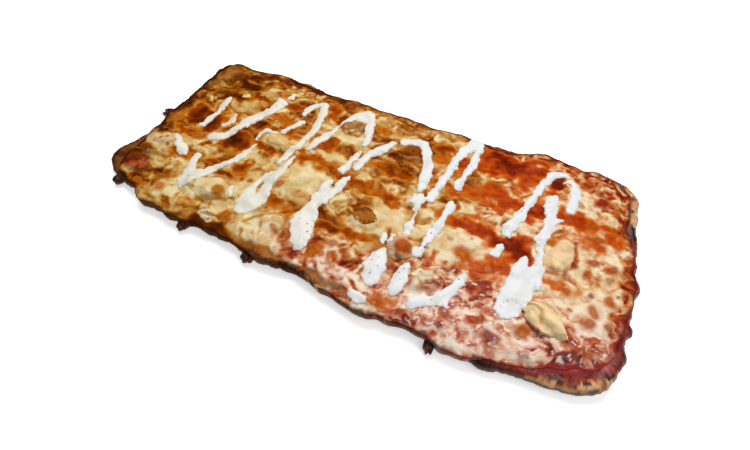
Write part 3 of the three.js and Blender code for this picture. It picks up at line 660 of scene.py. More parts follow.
def rangeNodes(tree, value, low, high, toLow, toHigh, smooth=False):
    span = tree.nodes.new("ShaderNodeMapRange")
    if smooth:
        span.interpolation_type = "SMOOTHSTEP"
    span.inputs["From Min"].default_value = low
    span.inputs["From Max"].default_value = high
    span.inputs["To Min"].default_value = toLow
    span.inputs["To Max"].default_value = toHigh
    feed(tree, span.inputs["Value"], value)
    return span.outputs["Result"]


def noiseNodes(tree, scale, detail=4.0, rough=0.55, stir=0.0):
    coords = tree.nodes.new("ShaderNodeTexCoord")
    spots = tree.nodes.new("ShaderNodeTexNoise")
    feed(tree, spots.inputs["Vector"], coords.outputs["Object"])
    feed(tree, spots.inputs["Scale"], scale)
    spots.inputs["Detail"].default_value = detail
    spots.inputs["Roughness"].default_value = rough
    spots.inputs["Distortion"].default_value = stir
    return spots.outputs["Fac"]


def mixNodes(tree, factor, first, second, kind="MIX"):
    mix = tree.nodes.new("ShaderNodeMix")
    mix.data_type = "RGBA"
    mix.blend_type = kind
    colourA, colourB = [entry for entry in mix.inputs if entry.type == "RGBA"]
    feed(tree, mix.inputs["Factor"], factor)
    feed(tree, colourA, first)
    feed(tree, colourB, second)
    return [entry for entry in mix.outputs if entry.type == "RGBA"][0]


# A colour times a value
def scaleNodes(tree, colour, value):
    return mixNodes(tree, 1, colour, value, "MULTIPLY")


# A ramp over a value: each entry has the place and the colour from 0 to 255
def rampNodes(tree, factor, tones):
    ramp = tree.nodes.new("ShaderNodeValToRGB")
    feed(tree, ramp.inputs["Fac"], factor)
    entries = ramp.color_ramp.elements
    while len(entries) < len(tones):
        entries.new(0.5)
    for entry, (position, colour) in zip(entries, tones):
        entry.position = position
        entry.color = tone(*colour)
    return ramp.outputs["Color"]


# A colour attribute and its three channels
def channels(tree, attribute):
    reader = tree.nodes.new("ShaderNodeAttribute")
    reader.attribute_name = attribute
    parts = tree.nodes.new("ShaderNodeSeparateColor")
    feed(tree, parts.inputs["Color"], reader.outputs["Color"])
    return reader.outputs["Color"], parts.outputs


def newGroup(name, inputs, output, outputType):
    group = bpy.data.node_groups.new(name, "ShaderNodeTree")
    for entry in inputs:
        group.interface.new_socket(entry, in_out="INPUT", socket_type="NodeSocketFloat")
    group.interface.new_socket(output, in_out="OUTPUT", socket_type=outputType)
    start = group.nodes.new("NodeGroupInput")
    end = group.nodes.new("NodeGroupOutput")
    return group, start.outputs, end.inputs[output]


# Shared effect: breaks a mask's edge with fine noise, so that no stain ends in a clean line
def makeBrokenMask():
    group, given, end = newGroup("brokenMask", ("Mask", "Scale", "Amount"), "Value", "NodeSocketFloat")
    centred = mathNodes(group, "SUBTRACT", noiseNodes(group, given["Scale"], 5, 0.6), 0.5)
    scaled = mathNodes(group, "MULTIPLY", centred, given["Amount"])
    # the noise only works where there is some of the mask
    held = mathNodes(group, "MULTIPLY", scaled, rangeNodes(group, given["Mask"], 0.02, 0.25, 0, 1))
    total = mathNodes(group, "ADD", given["Mask"], held)
    total.node.use_clamp = True
    feed(group, end, total)
    return group


# Shared effect: fine uneven relief as a normal
def makeFineRelief():
    group, given, end = newGroup("fineRelief", ("Scale", "Strength"), "Normal", "NodeSocketVector")
    bump = group.nodes.new("ShaderNodeBump")
    bump.inputs["Distance"].default_value = 0.0008
    feed(group, bump.inputs["Strength"], given["Strength"])
    feed(group, bump.inputs["Height"], noiseNodes(group, given["Scale"], 3, 0.5))
    feed(group, end, bump.outputs["Normal"])
    return group


brokenMask = makeBrokenMask()
fineRelief = makeFineRelief()


def groupNodes(tree, shared, output, **values):
    group = tree.nodes.new("ShaderNodeGroup")
    group.node_tree = shared
    for name, value in values.items():
        feed(tree, group.inputs[name], value)
    return group.outputs[output]


def maskNodes(tree, attribute, channel, scale, amount):
    mask = channels(tree, attribute)[1][channel]
    return groupNodes(tree, brokenMask, "Value", Mask=mask, Scale=scale, Amount=amount)


def reliefNodes(tree, shader, scale, strength):
    relief = groupNodes(tree, fineRelief, "Normal", Scale=scale, Strength=strength)
    feed(tree, shader.inputs["Normal"], relief)


# Painted surfaces: size of the fine spots and how much they shade, roughness where dry and where wet, and
# the relief's size and strength
surfaces = {
    "bakedCrust": {"spotScale": 500, "spotShare": 0.08, "dry": 0.55, "wet": 0.3, "relief": (500, 0.6)},
    "cookedChicken": {"spotScale": 700, "spotShare": 0.07, "dry": 0.36, "wet": 0.16, "relief": (600, 0.45)},
    "meltedCheese": {"dry": 0.5, "wet": 0.12, "relief": (260, 0.32)},
}

# Plain surfaces: noise with its size, detail and roughness, and the colours over it
plainSurfaces = {
    "cookedTomato": {
        "noise": (260, 6, 0.6),
        "tones": [(0.3, (92, 16, 18)), (0.55, (132, 30, 26)), (0.75, (176, 66, 36))],
        "rough": 0.34,
        "relief": (600, 0.5),
    },
    "burntDrip": {
        "noise": (300,),
        "tones": [(0.35, (40, 16, 12)), (0.6, (84, 38, 22)), (0.8, (124, 66, 34))],
        "rough": 0.35,
        "relief": (500, 0.5),
    },
    "driedHerb": {
        "noise": (900,),
        "tones": [(0.4, (104, 108, 104)), (0.6, (160, 162, 158))],
        "rough": 0.7,
        "relief": None,
    },
}


def newMaterial(name):
    material = bpy.data.materials.new(name)
    material.use_nodes = True
    shader = material.node_tree.nodes["Principled BSDF"]
    shader.inputs["Specular IOR Level"].default_value = 0.22
    return material, material.node_tree, shader


def plainMaterial(name):
    look = plainSurfaces[name]
    material, tree, shader = newMaterial(name)
    feed(tree, shader.inputs["Base Color"], rampNodes(tree, noiseNodes(tree, *look["noise"]), look["tones"]))
    shader.inputs["Roughness"].default_value = look["rough"]
    if look["relief"]:
        reliefNodes(tree, shader, *look["relief"])
    return material


# Shine from the masks beside the painted colours: red is wet, green is rough
def shineNodes(tree, shader, look):
    shine = channels(tree, "foodShine")[1]
    scale, strength = look["relief"]
    roughness = rangeNodes(tree, shine["Red"], 0, 1, look["dry"], look["wet"])
    feed(tree, shader.inputs["Roughness"], roughness)
    feed(tree, shader.inputs["Specular IOR Level"], rangeNodes(tree, shine["Red"], 0, 1, 0.0, 0.45))
    reliefNodes(tree, shader, scale, rangeNodes(tree, shine["Green"], 0, 1, 0.3 * strength, strength))


# A painted surface: the colour of each place, uneven at a fine scale, and its shine
def paintedMaterial(name):
    look = surfaces[name]
    material, tree, shader = newMaterial(name)
    colour = channels(tree, "foodColour")[0]
    spotNoise = noiseNodes(tree, look["spotScale"], 5, 0.65)
    spots = rangeNodes(tree, spotNoise, 0.3, 0.7, 1 - look["spotShare"], 1 + look["spotShare"])
    feed(tree, shader.inputs["Base Color"], scaleNodes(tree, colour, spots))
    shineNodes(tree, shader, look)
    return material


# Colours from pale melted cheese at 0 to dark and baked at 1, in four parts of the bread, and of the hot
# sauce by its strength. A span tells where one gives way to the next: along x from left to middle and from
# amber to red, and towards the near right corner from right to rose
cheeseLook = {
    "left": [
        (0.04, (232, 216, 164)), (0.25, (212, 176, 108)), (0.45, (186, 126, 50)), (0.62, (158, 90, 20)),
        (0.78, (124, 56, 5)), (0.97, (72, 26, 1)),
    ],
    "middle": [
        (0.04, (238, 220, 174)), (0.25, (218, 182, 120)), (0.45, (190, 131, 62)), (0.62, (163, 90, 22)),
        (0.78, (128, 57, 4)), (0.97, (80, 28, 1)),
    ],
    "right": [
        (0.04, (247, 230, 196)), (0.25, (234, 204, 160)), (0.45, (212, 150, 97)), (0.62, (186, 93, 42)),
        (0.78, (142, 44, 16)), (0.97, (92, 16, 8)),
    ],
    "rose": [
        (0.04, (247, 231, 213)), (0.25, (237, 203, 180)), (0.45, (216, 150, 120)), (0.62, (184, 88, 60)),
        (0.78, (140, 36, 24)), (0.97, (90, 14, 12)),
    ],
    "amber": [
        (0.06, (222, 166, 78)), (0.18, (210, 132, 36)), (0.34, (190, 98, 10)), (0.5, (158, 68, 3)),
        (0.68, (118, 44, 0)), (0.95, (70, 22, 0)),
    ],
    "red": [
        (0.06, (226, 156, 82)), (0.2, (214, 116, 36)), (0.38, (198, 84, 10)), (0.55, (170, 54, 4)),
        (0.72, (126, 30, 1)), (0.95, (84, 12, 0)),
    ],
}
toneSpans = {"middle": (-120, 0), "rose": (30, 62), "red": (30, 80)}
cornerSlant = 0.1


# Melted cheese: ramps over the painted richness and sauce, both broken up by noise at a fine scale, and
# painted colours for the blisters and the edge
def cheeseMaterial():
    material, tree, shader = newMaterial("meltedCheese")
    painted = channels(tree, "foodColour")[0]
    stain = channels(tree, "foodStain")[1]
    shine = channels(tree, "foodShine")[1]
    coords = tree.nodes.new("ShaderNodeTexCoord")
    place = tree.nodes.new("ShaderNodeSeparateXYZ")
    feed(tree, place.inputs["Vector"], coords.outputs["Object"])

    def rampOf(factor, kind):
        return rampNodes(tree, factor, cheeseLook[kind])

    def shareOf(kind, value):
        low, high = toneSpans[kind]
        return rangeNodes(tree, value, low * mm, high * mm, 0, 1)

    fine = rangeNodes(tree, noiseNodes(tree, 330, 3, 0.5, 0.8), 0.28, 0.72, -0.5, 0.5)
    fineShare = rangeNodes(tree, shine["Green"], 0, 1, 0.1, 0.28)
    rich = mathNodes(tree, "ADD", stain["Red"], mathNodes(tree, "MULTIPLY", fine, fineShare))
    onward = shareOf("middle", place.outputs["X"])
    colour = mixNodes(tree, onward, rampOf(rich, "left"), rampOf(rich, "middle"))
    cornerX = mathNodes(tree, "MULTIPLY", place.outputs["X"], cornerSlant)
    corner = mathNodes(tree, "SUBTRACT", cornerX, place.outputs["Y"])
    rosyTone = mixNodes(tree, shareOf("rose", corner), rampOf(rich, "right"), rampOf(rich, "rose"))
    colour = mixNodes(tree, shine["Blue"], colour, rosyTone)
    # hot sauce
    sauceNoise = rangeNodes(tree, noiseNodes(tree, 190, 3, 0.5, 0.6), 0.28, 0.72, -0.08, 0.08)
    sauce = mathNodes(tree, "ADD", stain["Green"], sauceNoise)
    redder = shareOf("red", place.outputs["X"])
    sauceTone = mixNodes(tree, redder, rampOf(sauce, "amber"), rampOf(sauce, "red"))
    held = rangeNodes(tree, stain["Green"], 0.02, 0.24, 0, 1, True)
    share = mathNodes(tree, "MULTIPLY", rangeNodes(tree, sauce, 0.0, 0.4, 0, 1, True), held)
    colour = mixNodes(tree, share, colour, sauceTone)
    colour = mixNodes(tree, stain["Blue"], colour, painted)
    grains = rangeNodes(tree, noiseNodes(tree, 700, 4, 0.6), 0.3, 0.7, 0.94, 1.05)
    feed(tree, shader.inputs["Base Color"], scaleNodes(tree, colour, grains))
    shineNodes(tree, shader, surfaces["meltedCheese"])
    shader.inputs["Subsurface Weight"].default_value = 0.12
    shader.inputs["Subsurface Radius"].default_value = (1.0, 0.5, 0.25)
    shader.inputs["Subsurface Scale"].default_value = 0.0015
    return material


def drizzleMaterial():
    material, tree, shader = newMaterial("whiteDressing")
    cool = maskNodes(tree, "drizzleTone", "Red", 60, 0.2)
    thin = maskNodes(tree, "drizzleTone", "Green", 300, 0.4)
    base = mixNodes(tree, cool, tone(233, 228, 214), tone(236, 238, 239))
    base = scaleNodes(tree, base, rangeNodes(tree, noiseNodes(tree, 160, 4, 0.6), 0.3, 0.7, 0.96, 1.02))
    feed(tree, shader.inputs["Base Color"], mixNodes(tree, thin, base, tone(214, 176, 112)))
    shader.inputs["Roughness"].default_value = 0.38
    reliefNodes(tree, shader, 250, 0.08)
    return material


# Crust: rings round the outline, from the middle of the underside over the side and rim to the bed
crustPiece = {
    "rows": 32,
    "innerRing": 26,  # how far inside the outline the rings end
    "puff": 0.45,
    "pits": 0.16,
    # tomato baked on the rim, dough left pale and burnt places: x, y, half length, half width, turn and
    # strength
    "soaked": [
        (171, -5, 7, 38, 0, 0.9), (160, -57, 22, 5.5, 33, 1.15), (131, -70, 20, 3.5, 8, 0.9),
        (172, -36, 6, 10, 0, 1.1), (158, 48, 4, 16, 4, 1.0), (150, 66, 12, 5, -22, 1.1),
        (120, 76, 34, 4, 0, 0.9), (75, 72, 22, 3.5, 0, 0.8),
    ],
    "bare": [
        (165, 50, 2.6, 14, 4, 1.0), (160, 67, 7, 2.5, -40, 1.0), (165, -62, 14, 2.8, 41, 1.0),
        (146, -70.5, 14, 1.7, 8, 0.9),
    ],
    "char": [
        (165.5, 35, 2.6, 5, 5, 1.2), (-3, -72, 6, 2.2, 0, 0.9), (162, -64, 3, 1.3, 30, 0.8),
        (170, -55, 1.4, 4, -30, 0.8), (147, -67.5, 5, 1.2, 5, 0.8), (162.5, 52, 1.3, 4, 5, 0.6),
        (176, -28, 2.0, 3, 0, 0.6), (175, -40, 1.6, 3, 0, 0.6),
    ],
}


# Colours of the bare crust at places, from 0 to 255
def paintCrust(x, y, z, depth):
    coarse = grain(x, y + z, 13, 61, 2, 1.4)
    middle = grain(x, y + z, 6, 63, 3)
    small = grain(x, y + 2 * z, 2.4, 67, 2)

    def spots(kind, rough):
        wx, wy = warped(x, y, 69, 1.2)
        total = np.zeros(len(x))
        for px, py, halfLong, halfWide, turn, strength in crustPiece[kind]:
            along, across = turned(wx - px, wy - py, -turn)
            away = np.hypot(along / halfLong, across / halfWide) + rough * small
            total = np.maximum(total, strength * (1 - ease(away, 0.6, 1.25)))
        return total

    baked = 0.62 + 0.35 * coarse + 0.3 * middle + 0.12 * small
    baked += 0.35 * ease(-x, 140, 168) * (1 - ease(depth, 2, 7)) + 0.25 * ease(-y, 60, 74)
    colours = stops(baked, (0, (196, 146, 78)), (0.35, (160, 106, 44)), (0.65, (116, 64, 18)),
                    (0.95, (70, 32, 8)), (1.3, (36, 13, 4)))
    wine = stops(0.5 + 0.5 * middle + 0.3 * small, (0, (92, 16, 22)), (0.5, (126, 34, 32)),
                 (1, (168, 74, 56)))
    colours = blend(colours, 1.2 * spots("soaked", 0.25), wine)
    bare = spots("bare", 0.15)
    pale = stops(0.6 + 0.4 * middle + 0.3 * small, (0, (140, 84, 40)), (0.5, (204, 148, 96)),
                 (1, (232, 188, 142)))
    pale = blend(pale, ease(bare, 0.85, 0.5) * ease(x, 120, 140) * 0.8, (190, 92, 34))
    colours = blend(colours, ease(bare, 0.3, 0.6), pale)
    # the side wall and the lower edge are dark
    low = 1 - ease(z / rimTop(x, y) + 0.08 * middle, 0.62, 0.84)
    wall = stops(0.5 + 0.5 * middle, (0, (34, 12, 6)), (0.6, (66, 28, 9)), (1, (112, 60, 22)))
    colours = blend(colours, 0.95 * low, wall)
    burnt = stops(x, (0, (30, 10, 4)), (150, (42, 26, 28)))
    colours = blend(colours, ease(spots("char", 0.3), 0.2, 0.7), burnt)
    return colours * (1 + 0.05 * small)[:, None]


def makeCrust():
    steps = bread["steps"]
    section = [(crustPiece["innerRing"], 0.0), (10, 0.0)] + rimSection
    knots = np.array(section + [(14, 0), (crustPiece["innerRing"], 0)], float)
    lengths = np.hypot(np.diff(knots[:, 0]), np.diff(knots[:, 1]) * rimUsual)
    run = np.concatenate(([0], np.cumsum(lengths)))
    share = np.linspace(0, 1, crustPiece["rows"] + 1)
    insets = np.interp(share * run[-1], run, knots[:, 0])
    heights = np.interp(share * run[-1], run, knots[:, 1])
    slopeStart = run[len(section) - 2] / run[-1]
    bedStart = run[len(section) - 1] / run[-1]
    slopeShare = rimSection[-2][1]
    rings = np.array([outlineOf(bread, inset)[0] for inset in insets])

    def place(u, v):
        row = np.round(v * crustPiece["rows"]).astype(int)
        column = np.round(u * steps).astype(int) % steps
        x, y = rings[row, column].T
        height = heights[row] * rimTop(x, y)
        fall = ease(share[row], slopeStart, bedStart)
        slope = (1 - fall) * slopeShare * rimTop(x, y) + fall * layers["doughTop"]
        height = np.where(share[row] > slopeStart - 1e-6, slope, height)
        height = np.where(share[row] >= bedStart - 1e-6, layers["doughTop"], height)
        loose = ease(height, 0.3, 2)
        height = height + loose * (crustPiece["puff"] * grain(x, y + 1.3 * height, 9, 31)
                                   + crustPiece["pits"] * grain(x, y + 1.7 * height, 2.5, 41))
        sideways = np.where(insets[row] < 3, 1.0, 0.0) * loose
        push = 0.3 * sideways * grain(x + 3 * height, y, 3, 51)
        normal = breadEdge[1][column]
        return np.column_stack((x + normal[:, 0] * push, y + normal[:, 1] * push, np.maximum(height, 0)))

    bm = gridMesh(steps, crustPiece["rows"], place)
    bmesh.ops.remove_doubles(bm, verts=bm.verts[:], dist=1e-6)
    closeSkin(bm)
    x, y, z = readPoints(bm.verts).T / mm
    piece = finishPiece(bm, "baked_crust", paintedMaterial("bakedCrust"), ("crust",))
    colours = paintCrust(x, y, z, depthInside(breadEdge, x, y))
    paintColours(piece, colours, 0.15 + 0.5 * ease(x, 90, 130), np.full(len(x), 0.8))


def makeSauce():
    columns = sauceLayer["columns"]
    rows = sauceLayer["rows"]

    def place(u, v):
        x, y = sheetPlaces(sauceEdge, sauceLayer["gridCorners"], u, v).T
        z = layers["sauceTop"] + 0.2 * grain(x, y, 4, 81) + 0.25 * grain(x, y, 11, 83)
        border = np.minimum(np.minimum(u, 1 - u) * columns, np.minimum(v, 1 - v) * rows)
        return np.column_stack((x, y, np.where(border < 0.5, layers["doughTop"] - 0.5, z)))

    bm = gridMesh(columns, rows, place)
    closeSkin(bm)
    finishPiece(bm, "tomato_layer", plainMaterial("cookedTomato"), ("tomato_sauce",))


# Cheese: a grid inside its outline, with a skirt of rows that go down round it
cheesePiece = {
    "columns": 452,
    "rows": 204,
    "skirt": 2,
    "gridCorners": [(-160, -56), (168, -48), (158, 60), (-163, 62)],
    "lumps": 0.5,  # heights of the unevenness, from coarse to fine
    "curds": 0.1,
    "fine": 0.03,
}


# The strength given for a chunk over and beside it, falling to 0 between the shares "inner" and "outer" of
# its size
def chunkNear(x, y, inner, outer, strengths):
    total = np.zeros(len(x))
    for (cx, cy, length, width, _, turn), strength in zip(chunks, strengths):
        along, across = turned(x - cx, y - cy, -turn)
        away = (np.abs(along / (length / 2)) ** 2.6 + np.abs(across / (width / 2)) ** 2.6) ** (1 / 2.6)
        total = np.maximum(total, strength * (1 - ease(away, inner, outer)))
    return total


# Blisters with a dark and broken ring. They go into the painted colours and the mask of what is painted
# over, and the height of their bumps is given back
def addBlisters(wx, wy, middle, small, umber, painted, over):
    bump = np.zeros(len(wx))
    for bx, by, radius, redness in allBlisters:
        away = np.hypot(wx - bx, (wy - by) * 1.1) / radius + 0.14 * small
        close = away < 1.7
        away = away[close]
        strength = 0.95 if radius > 2.7 else 0.5 + 0.4 * abs(math.sin(7.3 * bx + 3.1 * by))
        ring = (1 - ease(away, 0.5, 1.65)) * strength * (1 - 0.8 * np.clip(umber[close], 0, 1))
        redShare = np.full(len(away), redness)
        core = stops(redShare, (0, (184, 98, 4)), (0.4, (168, 70, 6)), (0.65, (140, 36, 6)),
                     (1, (116, 16, 8)))
        around = stops(redShare, (0, (196, 116, 26)), (0.5, (200, 102, 36)), (1, (192, 80, 44)))
        core = blend(core, ease(away + 0.2 * middle[close], 0.5, 1.2), around)
        core = blend(core, 0.8 * (1 - redness) * (1 - ease(away, 0.1, 0.6)), (216, 138, 40))
        painted[close] = blend(painted[close], 3 * ring, core)
        over[close] = np.maximum(over[close], 0.95 * ring)
        bump[close] = np.maximum(bump[close], ring * radius * 0.16)
    return bump


# Single stained spots, and the painted highlight among them: they go into the painted colours and the mask
# of what is painted over
def addStainsAndHighlight(wx, wy, middle, small, net, painted, over):
    for sx, sy, halfLong, halfWide, core, ring in stainsAndHighlight:
        away = np.hypot((wx - sx) / halfLong, (wy - sy) / halfWide) + 0.3 * middle + 0.2 * small
        close = away < 1.4
        tint = stops(away[close] + 0.5 * net[close], (0.3, core), (0.8, ring))
        mask = 0.85 * (1 - ease(away[close], 0.75, 1.25))
        painted[close] = blend(painted[close], 3 * mask, tint)
        over[close] = np.maximum(over[close], mask)


# What the cheese looks like at places: how rich or baked it is, the hot sauce, the painted spots, and the
# colours that come of them, from 0 to 255
def paintCheese(x, y, depth):
    right = ease(x - 0.25 * y + 8 * lumps(x, y, 20, 551), 45, 105)
    near = ease(-y + 10 * lumps(x, y, 18, 553), 38, 64) * ease(x, -60, 20)
    # marbling: noise looked up at places that are themselves stirred about
    stirX = x + 5 * lumps(x, y, 11, 541) + 2 * lumps(x, y, 5, 543)
    stirY = y + 4 * lumps(x, y, 11, 545) + 2 * lumps(x, y, 5, 547)
    coarse = grain(stirX, stirY, 15, 561, 2, 1.7)
    middle = grain(stirX, stirY, 7, 563, 2, 1.6)
    small = grain(stirX, stirY, 3.2, 565, 2, 1.3)
    net = grain(stirX, stirY, 4.6, 567, 2, 1.2)
    pale = np.clip(patchAt("pale", x, y), 0, 1)
    halo = [entry[5] for entry in chickenPiece["looks"]]
    pale = np.maximum(pale, chunkNear(x, y, 0.9, 1.4, halo) * 0.8)
    mottled = np.clip(patchAt("mottled", x, y), 0, 1)
    crimson = np.clip(patchAt("crimson", x, y) * (0.8 + 0.6 * net), 0, 1.2)
    pink = np.clip(np.maximum(np.maximum(right, 0.85 * near), 1.3 * crimson), 0, 1)
    # baked: 0 is pale, 1 is dark
    rich = 0.52 + 0.4 * np.tanh(1.2 * (0.8 * coarse + 0.9 * middle + 0.25 * small))
    rosy = 0.35 + 0.4 * np.tanh(1.5 * (0.5 * coarse + 0.7 * middle + 0.6 * net)) - 0.03 * near
    rich = rich * (1 - pink) + rosy * pink
    calmTone = 0.08 + 0.1 * middle + 0.06 * small + 0.12 * right * net
    rich = rich + pale * (0.9 - 0.25 * right) * (calmTone - rich)
    rich = rich + 0.34 * mottled * np.clip(net + 0.5 * small, -0.7, 1)
    umber = np.clip(patchAt("umber", x, y), 0, 1.1)
    umber = np.maximum(umber, ease(-x + 12 * coarse + 6 * middle, 134, 170) * 0.95) * (1 - 0.7 * pale)
    rich = rich + umber * (0.95 + 0.1 * coarse + 0.12 * middle - rich)
    rich = rich + np.clip(crimson, 0, 1) * (0.84 + 0.16 * net - rich)
    # hot sauce, in uneven streaks
    sway = 3.2 * lumps(x, y, 24, 589)
    sauce = patchAt("sauce", x, y + sway) + 0.12 * small
    streaks = ease(grain(stirX, y, 8, 593, 3, 2.2), 0.35, 1.0) * 0.6 * (1 - 0.9 * pale)
    pools = grain(stirX, stirY, 13, 2234, 2, 1.5) + 0.3 * middle
    sauce = np.maximum(sauce, streaks * (1 - 0.6 * right)) * (1.0 + (0.3 - 0.14 * right) * pools)
    sauce = sauce * (1 + 0.12 * ease(-x, 60, 90))
    # darkened along the crease lines, and along painted shadow lines at the chunks' feet
    crease = creaseAndShadowAt(x, y)
    rich = rich + crease * (0.86 - rich)
    ground = np.clip(rich, 0, 1)
    left, middleTone, rightTone, rose = (stops(ground, *cheeseLook[kind])
                                         for kind in ("left", "middle", "right", "rose"))
    colours = blend(left, ease(x, *toneSpans["middle"]), middleTone)
    rosyTone = blend(rightTone, ease(cornerSlant * x - y, *toneSpans["rose"]), rose)
    colours = blend(colours, pink, rosyTone)
    poured = sauce / 1.6
    soaked = np.clip(sauce, 0, 1)
    amber, red = (stops(poured, *cheeseLook[kind]) for kind in ("amber", "red"))
    colours = blend(colours, ease(sauce, 0.08, 0.5), blend(amber, ease(x, *toneSpans["red"]), red))
    # painted over it: bare dough, whitish cheese and painted sheen, blisters, stained spots, a painted
    # highlight, painted white glints and the crisp edge
    golden = np.clip(patchAt("golden", x, y), 0, 1)
    glossy = ease(-y + 8 * middle, 15, 50) * ease(x, 20, 90)
    # partly whitish cheese, partly a painted sheen: pale strings, mostly in the glossy part, standing in for
    # the shine of wet cheese
    milkyAndSheen = ease(grain(stirX, stirY, 3.0, 661, 2, 1.1) + 0.3 * coarse, 0.3, 0.65)
    milkyAndSheen = 0.92 * milkyAndSheen * (0.15 * right + 0.85 * glossy)
    painted = stops(0.5 + 0.5 * middle, (0, (102, 54, 12)), (0.5, (148, 88, 32)), (1, (182, 124, 60)))
    painted = blend(painted, 3 * milkyAndSheen, (248, 230, 216))
    over = np.maximum(golden, milkyAndSheen * (1 - 0.8 * soaked))
    wx, wy = warped(x, y, 621, 1.9)
    bump = addBlisters(wx, wy, middle, small, umber, painted, over)
    addStainsAndHighlight(wx, wy, middle, small, net, painted, over)
    glints = 0.75 * glossy * ease(grain(stirX, stirY, 1.9, 663, 2, 2), 0.55, 0.9)
    painted = blend(painted, 3 * glints, (255, 250, 244))
    over = np.maximum(over, glints)
    edge = 1 - ease(depth + 1.1 * middle + 0.6 * small, 0.2, 2.6)
    cornerNear = ease(x, 120, 150) * ease(-y, 38, 50)
    rimTone = stops(ease(x, 40, 110), (0, (64, 24, 4)), (1, (104, 24, 16)))
    rimTone = blend(rimTone, cornerNear, (146, 36, 36))
    painted = blend(painted, 2 * edge, rimTone)
    over = np.maximum(over, 0.92 * edge)
    colours = blend(colours, over, painted)
    calm = 1 - 0.55 * soaked
    height = bump + 0.3 * pale * calm - 0.3 * np.clip(crimson, 0, 1) - 0.7 * crease
    height = height - (0.08 + 0.12 * mottled) * calm * np.clip(rich - 0.5, -0.5, 0.5)
    sparkle = ease(grain(stirX, y, 2.2, 617, 2) + 0.3 * glossy, 0.5, 0.95) * (0.3 + 0.7 * glossy)
    wet = np.clip(0.02 + 0.05 * pink + 0.4 * glossy + 0.75 * sparkle, 0, 1) * (1 - 0.8 * over)
    rough = np.clip(0.2 + 0.6 * pink + 0.4 * mottled - 0.3 * pale - 0.2 * soaked, 0, 1)
    return {"colours": colours, "painted": painted, "stain": (ground, poured, over),
            "height": height, "calm": calm, "wet": wet, "rough": rough, "pink": pink}


# The rest of the blisters is drawn: how many there are in all, the area, their radius and how far apart
smallBlisters = {
    "total": 130,
    "area": ((-150, 172), (-74, 70)),
    "radius": (0.9, 2.4),
    "apart": 0.6,
}


def scatterBlisters():
    draw = random.Random(641)
    found = list(blisters)
    rangeX, rangeY = smallBlisters["area"]
    while len(found) < smallBlisters["total"]:
        x = draw.uniform(*rangeX)
        y = draw.uniform(*rangeY)
        if draw.random() > 0.1 + 0.9 * ease(x - 0.9 * y, 20, 130):
            continue
        radius = draw.uniform(*smallBlisters["radius"])
        reach = radius + smallBlisters["apart"]
        if any(math.hypot(x - bx, y - by) < reach + other for bx, by, other, _ in found):
            continue
        found.append((x, y, radius, draw.uniform(0.3, 1) if x > 40 else draw.uniform(0.1, 0.5)))
    return found


allBlisters = scatterBlisters()


def makeCheese():
    columns = cheesePiece["columns"]
    rows = cheesePiece["rows"]
    skirt = cheesePiece["skirt"]
    kept = {}

    def place(u, v):
        column = np.round(u * (columns + 2 * skirt)) - skirt
        row = np.round(v * (rows + 2 * skirt)) - skirt
        outside = np.maximum(np.maximum(-column, column - columns), np.maximum(-row, row - rows))
        outside = np.maximum(outside, 0)
        x, y = sheetPlaces(cheeseEdge, cheesePiece["gridCorners"],
                           np.clip(column / columns, 0, 1), np.clip(row / rows, 0, 1)).T
        depthCheese = np.maximum(depthInside(cheeseEdge, x, y), 0)
        depthBread = depthInside(breadEdge, x, y)
        top = cheeseTop(x, y, depthCheese, depthBread)
        look = paintCheese(x, y, depthCheese)
        calm = look["calm"]
        rough = look["rough"]
        inner = ease(depthCheese, 0, 4)
        relief = (cheesePiece["lumps"] * grain(x, y, 10, 131, 2, 1.4)
                  + cheesePiece["curds"] * (0.4 + rough) * grain(x, y, 3.6, 133, 1, 1.2)
                  + cheesePiece["fine"] * rough * grain(x, y, 1.7, 135, 1))
        drape = [0.8 * chunk[4] * entry[3] for chunk, entry in zip(chunks, chickenPiece["looks"])]
        z = top + (0.25 + 0.75 * inner) * (0.15 + 0.85 * calm) * relief + inner * look["height"]
        z = z + chunkNear(x, y, 0.86, 1.4, drape)
        z = z - 0.75 * ease(x, 105, 135) * ease(-y, 25, 45) * (1 - ease(depthCheese, 0.5, 6))
        floor = crustTop(x, y, depthBread) - 0.4
        z = np.where(outside == 1, top * 0.45 + floor * 0.55, z)
        z = np.where(outside == 2, np.minimum(floor, layers["cheeseFloor"] - 0.3), z)
        kept.update(look)
        return np.column_stack((x, y, z))

    bm = gridMesh(columns + 2 * skirt, rows + 2 * skirt, place)
    closeSkin(bm)
    piece = finishPiece(bm, "melted_cheese", cheeseMaterial(), ("cheese",))
    paintColours(piece, kept["painted"], kept["wet"], kept["rough"], kept["pink"])
    paint(piece, "foodStain", *kept["stain"])
    return piece


